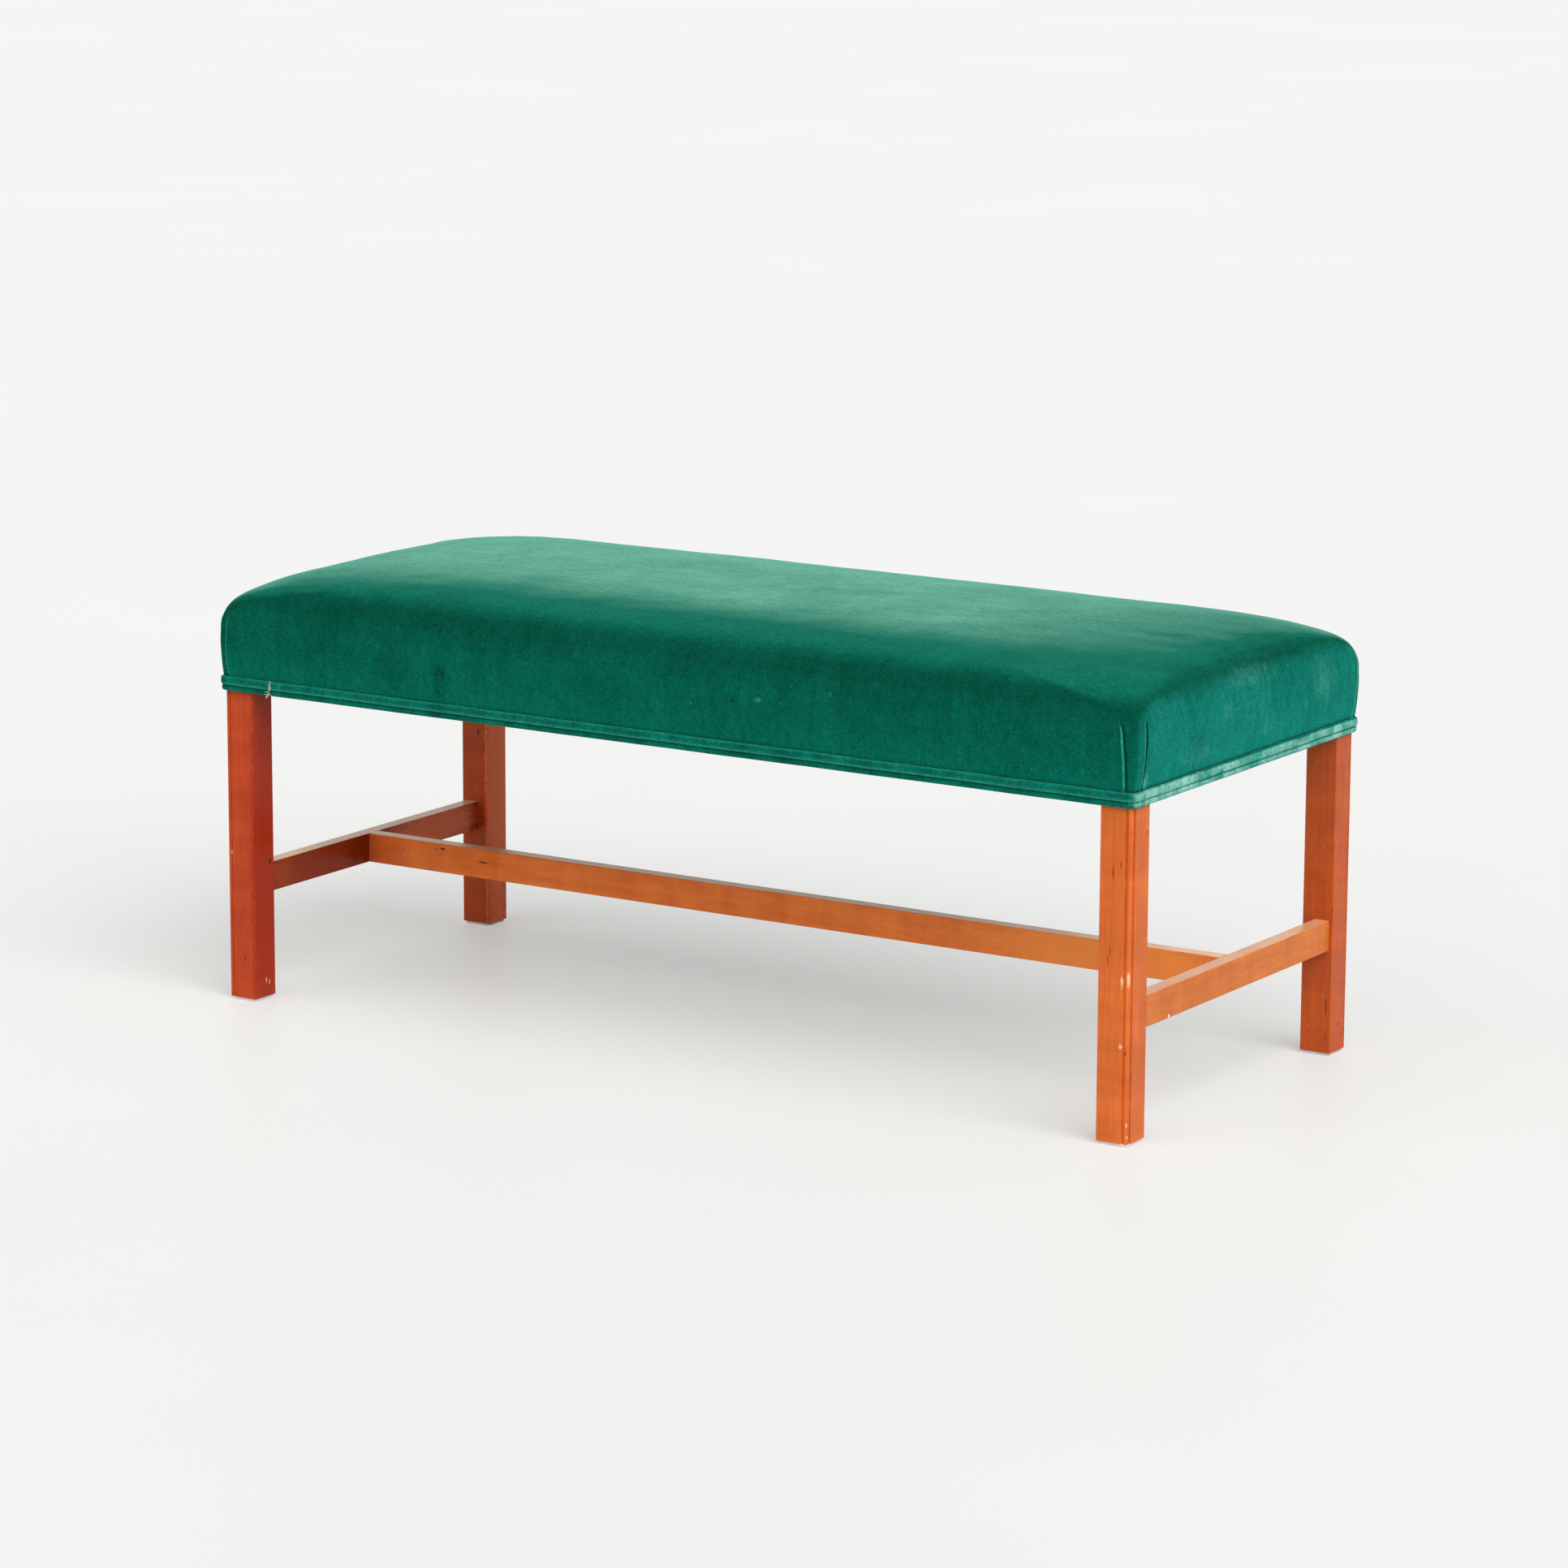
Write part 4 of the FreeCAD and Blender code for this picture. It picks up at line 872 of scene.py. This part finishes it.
def make_seat():
    """The velvet cover: crowned, drawn in at the sides, with a box pleat at each corner."""
    corner = SECTION[0][2] * SEAT_Y
    spots = outline_spots(SEAT_X, SEAT_Y, corner, SEAT_ROUND)
    rows = seat_rows(FINE_STEPS)
    points, outs, ways = seat_surface(rows, spots)
    inner_rows = seat_rows(LINING_STEPS)
    inner, _, _ = seat_surface(inner_rows, spots, SKIN)
    coarse_spots = outline_spots(SEAT_X, SEAT_Y, corner, COARSE_ROUND)
    coarse_rows = seat_rows(COARSE_STEPS)
    coarse, _, _ = seat_surface(coarse_rows, coarse_spots)
    moved = swollen(coarse)
    points = points + spread(moved, coarse_rows, coarse_spots, rows, spots)
    inner = inner + spread(moved, coarse_rows, coarse_spots, inner_rows, spots)
    flat = points.reshape(-1, 3)
    x, y, z = flat.T
    free = np.clip((z - BAND_TOP) / LUMPS_FADE, 0, 1)
    hollow = np.exp(-((x - HOLLOW_X) / HOLLOW_REACH_X) ** 2 - ((y - HOLLOW_Y) / HOLLOW_REACH_Y) ** 2)
    lumps = waves(flat, *LUMPS) - HOLLOW_DEPTH * hollow * np.clip((z - HOLLOW_FLOOR) / LUMPS_FADE, 0, 1)
    rise, painted_fold_shadings = pleat(ways, outs, points[:, :, 2])
    rise = rise + (lumps * free).reshape(points.shape[:2])
    points = pressed_out(points + outs * rise[:, :, None])
    both = np.concatenate([points.reshape(-1, 3), inner.reshape(-1, 3)])
    painted_fold_shadings = np.concatenate([painted_fold_shadings.ravel(), np.zeros(inner.size // 3)])
    count = len(spots)
    inner_first = len(rise) * count
    faces = ring_faces(range(0, inner_first, count), count)
    faces += [tuple(reversed(face)) for face in ring_faces(range(inner_first, len(both), count), count)]
    for i in range(count):
        j = (i + 1) % count
        faces.append((j, i, inner_first + i, inner_first + j))
    return make_piece("velvet_seat", both, faces, seat_velvet, "velvet", merge=0.00001, painted_fold_shadings=painted_fold_shadings)


seat = make_seat()
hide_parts("velvet_cover")


# Folded velvet band

BAND_FOOT = float(band_low[2])
BAND_HEIGHT = BAND_TOP - BAND_FOOT
BAND_OUT = float(band_high[0]) - float(leg_high[0])
BAND_IN = 0.0029
LEG_X = float(leg_high[0])
LEG_Y = -float(leg_low[1])
JOIN_X = -0.4848
# Waves of the band, calm near the corners, and the slit at its join
BAND_TURN = 0.008
BAND_WAVES = [(0.00035, 0.09, 0.9), (0.00012, 0.031, 2.3)]
BAND_SWELL = (0.00018, 0.047, 4.1)
CALM_REACH = 0.012
CALM_FADE = 0.02
LOWER_STRIP = 0.4
JOIN_DEPTH = 0.0019
# Share of a groove's painted shade, or of another fold's painted highlight or shade, that is lost on the pale
# ends
GROOVE_LOSS = 0.45
FOLD_LOSS = 0.85

# Height share, thickness share and painted fold shading (highlight above 0, shade below) of the two strips,
# from the inner foot round to the inner top
BAND_SECTION = [
    (0.0, 0.0, -0.5), (-0.01, 0.3, -0.2), (0.015, 0.55, 0.2), (0.06, 0.7, 0.2), (0.13, 0.78, 0.0),
    (0.21, 0.78, -0.1), (0.28, 0.74, -0.2), (0.335, 0.62, -0.4), (0.37, 0.4, -0.7), (0.39, 0.3, -1.0),
    (0.4, 0.46, -0.2), (0.415, 0.74, 0.9), (0.44, 0.93, 1.0), (0.48, 1.02, 0.9), (0.55, 1.07, 0.35),
    (0.66, 1.09, 0.05), (0.78, 1.07, 0.0), (0.87, 1.0, 0.05), (0.93, 0.88, 0.15), (0.97, 0.68, 0.35),
    (1.0, 0.38, 0.2), (1.0, 0.0, -0.5),
]


def band_point(spots, height_share, thickness_share):
    """Points round the band at one place of its section, a little wavy, and slit at its join."""
    out = BAND_IN + (BAND_OUT - BAND_IN) * thickness_share
    plan, direction, way = outline(LEG_X + out, LEG_Y + out, 0.0068 + out * 0.5, spots)
    points = np.column_stack([plan, np.full(len(plan), BAND_FOOT + BAND_HEIGHT * height_share)])
    away = np.clip((np.abs(way) - CALM_REACH) / CALM_FADE, 0, 1)
    points[:, 2] += waves(points * (1, 1, 0), *BAND_WAVES) * away * (0.4 + 0.6 * height_share)
    swell = waves(points, BAND_SWELL) * thickness_share
    in_lower = height_share < LOWER_STRIP
    slit = bell(points[:, 0], JOIN_X + 0.0012 * in_lower, 0.0006 + 0.0008 * in_lower)
    slit *= (points[:, 1] < 0) * thickness_share
    move = swell - JOIN_DEPTH * slit
    points[:, :2] += direction * move[:, None]
    return points


def make_band():
    """The two folded strips round the foot of the cover, with close points at their join."""
    spots = outline_spots(LEG_X + BAND_OUT, LEG_Y + BAND_OUT, BAND_TURN, BAND_ROUND)
    near_join = 5 + (JOIN_X - np.linspace(-0.004, 0.004, 17) + LEG_X) / (2 * LEG_X)
    spots = np.unique(np.round(np.concatenate([spots, near_join]), 6))
    count = len(spots)
    points = np.concatenate([band_point(spots, height, thickness) for height, thickness, _ in BAND_SECTION])
    _, out, _ = outline(LEG_X, LEG_Y, BAND_TURN, spots)
    on_end = out[:, 0] ** 2
    # Painted highlights and shade of the folds, with much of them left off the ends that the light falls on.
    painted_fold_shadings = []
    for _, _, painted_fold_shading in BAND_SECTION:
        loss = GROOVE_LOSS if painted_fold_shading < -0.8 else FOLD_LOSS
        painted_fold_shadings.append(painted_fold_shading * (1 - loss * on_end))
    faces = ring_faces([*range(0, len(points), count), 0], count)
    return make_piece("velvet_band_folds", points, faces, band_velvet, "velvet", merge=0.000001,
                      painted_fold_shadings=np.concatenate(painted_fold_shadings))


band = make_band()
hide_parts("velvet_band")


# Felt pads

# Height share and inset of a pad's rings, from the middle of its foot to the middle of its top
PAD_ROWS = [
    (0.0, 0.005), (0.0, -0.0012), (0.12, -0.0022), (0.45, -0.0027), (0.8, -0.0026), (1.0, -0.0018),
    (1.0, 0.005),
]
PAD_WAVE = (0.00012, 0.11, 9)


def make_pad(node, phase):
    """A felt pad under a leg, pressed a little fuller at its edge."""
    low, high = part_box(node)
    centre = (Vector(low) + Vector(high)) / 2
    half = (high[0] - low[0]) / 2
    tall = high[2] - low[2]
    spots = outline_spots(half, half, 0.003, PAD_ROUND)
    height, length, scale = PAD_WAVE
    rings = []
    for share, inset in PAD_ROWS:
        plan, direction, _ = outline(half - inset, half - inset, max(0.0006, 0.0035 - max(inset, 0)), spots)
        ring = np.column_stack([plan, np.full(len(plan), tall * share)])
        ring[:, :2] += direction * waves(ring * scale, (height, length, phase))[:, None]
        rings.append(ring)
    points = np.concatenate(rings) + (centre.x, centre.y, low[2])
    faces = closed_faces(len(rings), len(spots))
    pad = make_piece("felt_" + node, points, faces, felt_material, "felt", merge=0.000001)
    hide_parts(node)


for number, node in enumerate(sorted(name for name in nodes if name.startswith("foot_pad_"))):
    make_pad(node, 0.6 + number * 1.7)


# Dust cloth under the seat, with its staples

LEG_NOTCH = 0.0365
DUST_SAG = 0.0016
DUST_THICKNESS = 0.0006
PULL_HEIGHT = 0.0002
PULL_LENGTH = 0.06
PULL_REACH = 0.09


def cloth_lines(half, notch, count):
    """Places of the cloth's threads across one direction, with wide steps past the notches."""
    beside = (half + notch) / 2
    return np.concatenate([[-half, -beside], np.linspace(-notch, notch, count), [beside, half]])


def make_dust_cloth():
    """A black cloth stretched under the rails, notched round the legs."""
    low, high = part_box("dust_cover")
    half_x = high[0]
    half_y = high[1]
    notch_x = LEG_X - LEG_NOTCH
    notch_y = LEG_Y - LEG_NOTCH
    lines_x = cloth_lines(half_x, notch_x, 61)
    lines_y = cloth_lines(half_y, notch_y, 25)
    level = (low[2] + high[2]) / 2
    points, faces, index = [], [], {}
    for i, x in enumerate(lines_x):
        for j, y in enumerate(lines_y):
            if abs(x) > notch_x + 1e-6 and abs(y) > notch_y + 1e-6:
                continue
            slack = max(0.0, 1 - (x / notch_x) ** 2) * max(0.0, 1 - (y / notch_y) ** 2)
            edge = max(0.0, 1 - (half_y - abs(y)) / PULL_REACH)
            pull = PULL_HEIGHT * math.sin(x * 2 * math.pi / PULL_LENGTH) * edge
            index[i, j] = len(points)
            points.append((x, y, level - DUST_SAG * slack - abs(pull) * 0.5))
    for i in range(len(lines_x) - 1):
        for j in range(len(lines_y) - 1):
            corners = [(i, j), (i + 1, j), (i + 1, j + 1), (i, j + 1)]
            if all(c in index for c in corners):
                faces.append(tuple(index[c] for c in reversed(corners)))
    cloth = make_piece("dust_cloth", points, faces, dust_material, "dust_cloth")
    thick = cloth.modifiers.new("Thickness", "SOLIDIFY")
    thick.thickness = DUST_THICKNESS
    thick.offset = 0.0
    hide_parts("dust_cover")
    return half_x, half_y, notch_x, notch_y, float(low[2])


TUBE_END = 0.55


def tube(path, radius, sides):
    """Points and faces of a closed round tube along a path, thinner at its ends."""
    path = np.asarray(path, float)
    ahead = np.gradient(path, axis=0)
    ahead /= np.linalg.norm(ahead, axis=1, keepdims=True)
    points = []
    for number, (place, way) in enumerate(zip(path, ahead)):
        side = np.cross(way, (0.0, 0.0, 1.0))
        if np.linalg.norm(side) < 0.05:
            side = np.cross(way, (0.0, 1.0, 0.0))
        side /= np.linalg.norm(side)
        up = np.cross(side, way)
        size = radius * (TUBE_END if number in (0, len(path) - 1) else 1.0)
        for k in range(sides):
            turn = 2 * math.pi * k / sides
            points.append(place + size * (side * math.cos(turn) + up * math.sin(turn)))
    return points, closed_faces(len(path), sides)


def gather(parts):
    """Joins several points and faces lists into one."""
    points, faces = [], []
    for some_points, some_faces in parts:
        first = len(points)
        points.extend(some_points)
        faces.extend(tuple(first + i for i in face) for face in some_faces)
    return points, faces


# Half a staple's length, its bends, drop and radius, and its distance from the cloth's edges and notches
STAPLE_HALF = 0.005
STAPLE_BEND = 0.0046
STAPLE_DROP = 0.0003
STAPLE_WIRE = 0.0004
STAPLE_INSET = 0.005
STAPLE_MARGIN = 0.02


def staple(x, y, foot, along_x, along_y):
    """A wire staple that lies flat under the cloth, its two ends turned up."""
    stops = [(-STAPLE_HALF, 0.0), (-STAPLE_BEND, STAPLE_DROP), (STAPLE_BEND, STAPLE_DROP), (STAPLE_HALF, 0.0)]
    path = [(x + stop * along_x, y + stop * along_y, foot - drop) for stop, drop in stops]
    return tube(path, STAPLE_WIRE, 6)


cloth_x, cloth_y, notch_x, notch_y, cloth_foot = make_dust_cloth()
staples = []
for side in (-1, 1):
    for x in np.linspace(-notch_x + STAPLE_MARGIN, notch_x - STAPLE_MARGIN, 17):
        staples.append(staple(x, side * (cloth_y - STAPLE_INSET), cloth_foot, 1, 0))
    for y in np.linspace(-notch_y + STAPLE_MARGIN, notch_y - STAPLE_MARGIN, 7):
        staples.append(staple(side * (cloth_x - STAPLE_INSET), y, cloth_foot, 0, 1))
make_piece("dust_cloth_staples", *gather(staples), steel, "steel")


# Stitches in the band's groove, and frayed threads at its join

THREAD = 0.00028
STITCH_PITCH = 0.0042
STITCH_STOPS = np.array([0.0, 0.0009, 0.0022, 0.0031])
STITCH_TURN = 0.0075
GROOVE_HEIGHT = 0.395
GROOVE_THICKNESS = 0.36


def make_stitches():
    """Short thread stitches that lie in the groove between the two strips of the band."""
    half = LEG_X + BAND_OUT
    depth = LEG_Y + BAND_OUT
    length = 4 * (half + depth) - 8 * STITCH_TURN + 2 * math.pi * STITCH_TURN
    count = int(length / STITCH_PITCH)
    spots = outline_spots(half, depth, STITCH_TURN, STITCH_ROUND)
    ring = band_point(spots, GROOVE_HEIGHT, GROOVE_THICKNESS)
    ring = np.concatenate([ring, ring[:1]])
    way = np.concatenate([[0], np.cumsum(np.linalg.norm(np.diff(ring, axis=0), axis=1))])
    parts = []
    for number in range(count):
        stops = way[-1] * number / count + STITCH_STOPS
        path = np.column_stack([np.interp(stops, way, ring[:, axis]) for axis in range(3)])
        parts.append(tube(path, THREAD, 5))
    return gather(parts)


# Start height as a share of the band, start along it, then bend and end along it and upward, in millimetres
FRAYS = [
    (0.97, 0.2, -2.6, -3.4, -1.2, -7.6), (0.86, -0.6, 1.9, -3.0, 0.9, -8.2),
    (0.66, 0.4, -1.8, -2.4, -2.0, -6.0), (0.2, -0.4, -2.6, -1.4, -5.4, -5.8),
    (0.12, -1.0, -2.4, -2.6, -3.4, -5.2), (0.24, -1.2, -2.6, 0.9, -5.0, 0.4),
    (0.16, -0.8, -3.2, -1.6, -6.0, -0.6), (0.1, 0.5, 1.2, -1.6, 2.6, -1.2),
    (0.5, 0.6, 1.2, 0.8, 0.4, 2.6), (0.92, 0.4, 0.8, 1.0, -0.2, 2.2),
]


def make_threads():
    """Loose threads that fray out of the band's join."""
    parts = []
    for share, along, bend_along, bend_up, end_along, end_up in FRAYS:
        face = -(LEG_Y + BAND_OUT - 0.0004)
        start = np.array([JOIN_X + along / 1000, face, BAND_FOOT + BAND_HEIGHT * share])
        bend = np.array([bend_along, -1.3, bend_up]) / 1000
        end = np.array([end_along, -1.0, end_up]) / 1000
        t = np.linspace(0, 1, 9)[:, None]
        parts.append(tube(start + 2 * t * (1 - t) * bend + t**2 * end, THREAD, 6))
    return gather(parts)


make_piece("band_stitches", *make_stitches(), band_velvet, "velvet")
make_piece("band_loose_threads", *make_threads(), thread_material, "velvet")


# Camera

# Yaw, pitch and roll in degrees, place in metres, lens in millimetres
CAMERA_TURN = (32.58, -11.7, 0.25)
CAMERA_AT = (3.14566, -4.9136, 1.4656)
CAMERA_LENS = 131.11


def place_camera():
    """A long lens from the front right, a little above the seat."""
    yaw, pitch, roll = (math.radians(value) for value in CAMERA_TURN)
    ahead = Vector((-math.sin(yaw) * math.cos(pitch), math.cos(yaw) * math.cos(pitch), math.sin(pitch)))
    right = ahead.cross(Vector((0, 0, 1))).normalized()
    up = right.cross(ahead)
    tilted_right = right * math.cos(roll) + up * math.sin(roll)
    tilted_up = up * math.cos(roll) - right * math.sin(roll)
    data = bpy.data.cameras.new("camera")
    data.sensor_width = 36.0
    data.lens = CAMERA_LENS
    data.clip_end = 200.0
    camera = show("camera", data)
    turned = Matrix((tilted_right, tilted_up, -ahead)).transposed().to_4x4()
    camera.matrix_world = Matrix.Translation(CAMERA_AT) @ turned
    scene.camera = camera


# Light and floor

def place_lamp(name, towards, strength, angle, colour):
    """A broad sun that shines from a direction."""
    data = bpy.data.lights.new(name, "SUN")
    data.energy = strength
    data.angle = math.radians(angle)
    data.color = colour
    show(name, data).rotation_euler = Vector(towards).to_track_quat("Z", "Y").to_euler()


def seen_or_mirrored(tree):
    """1 for what the camera sees straight or in a gloss, 0 for the light that falls on things."""
    path = add(tree, "LightPath").outputs
    seen = calc("MAXIMUM", path["Is Camera Ray"], path["Is Glossy Ray"])
    return calc("MAXIMUM", seen, path["Is Transmission Ray"])


def blend_shaders(factor, first, second, output):
    """Shows a mix of two shaders on an output."""
    both = add(factor.id_data, "MixShader", Fac=factor)
    feed(both.inputs[1], first.outputs[0])
    feed(both.inputs[2], second.outputs[0])
    feed(factor.id_data.nodes[output].inputs["Surface"], both.outputs[0])


FLOOR_REACH = 60.0
FLOOR_GLOW = 0.42
FLOOR_LOW = (0.868, 0.868, 0.845)
FLOOR_HIGH = (0.89, 0.89, 0.87)
FLOOR_LIT = (0.58, 0.58, 0.56)
SKY = (0.97, 0.985, 1.0)
WALL = (0.92, 0.92, 0.9)


def place_stage():
    """A pale floor that runs past the view, and an even sky."""
    material, tree, shader, place = start_material("pale_floor")
    colour = mix(remap(noise(place, 1.1), *NOISE_SPAN), FLOOR_LOW, FLOOR_HIGH)
    seen = seen_or_mirrored(tree)
    plug(shader, Base_Color=mix(seen, FLOOR_LIT, colour), Roughness=0.45, Specular_IOR_Level=0.15)
    pale = add(tree, "Emission", Color=colour)
    blend_shaders(times(seen, FLOOR_GLOW), shader, pale, "Material Output")
    mesh = bpy.data.meshes.new("floor")
    corners = [(-1, -1), (1, -1), (1, 1), (-1, 1)]
    mesh.from_pydata([(x * FLOOR_REACH, y * FLOOR_REACH, 0) for x, y in corners], [], [(0, 1, 2, 3)])
    mesh.materials.append(material)
    floor = show("floor", mesh)
    world = bpy.data.worlds.new("sky")
    world.use_nodes = True
    tree = world.node_tree
    sky = plug(tree.nodes["Background"], Color=SKY, Strength=0.32)
    wall = add(tree, "Background", Color=WALL, Strength=1.0)
    blend_shaders(seen_or_mirrored(tree), sky, wall, "World Output")
    scene.world = world


place_camera()
place_lamp("key", (0.88, -0.42, 0.9), strength=2.55, angle=50.0, colour=(0.98, 0.99, 1.0))
place_lamp("front_fill", (-0.05, -0.95, 0.65), strength=1.1, angle=80.0, colour=(1.0, 1.0, 1.0))
place_stage()
scene.view_settings.view_transform = "Standard"
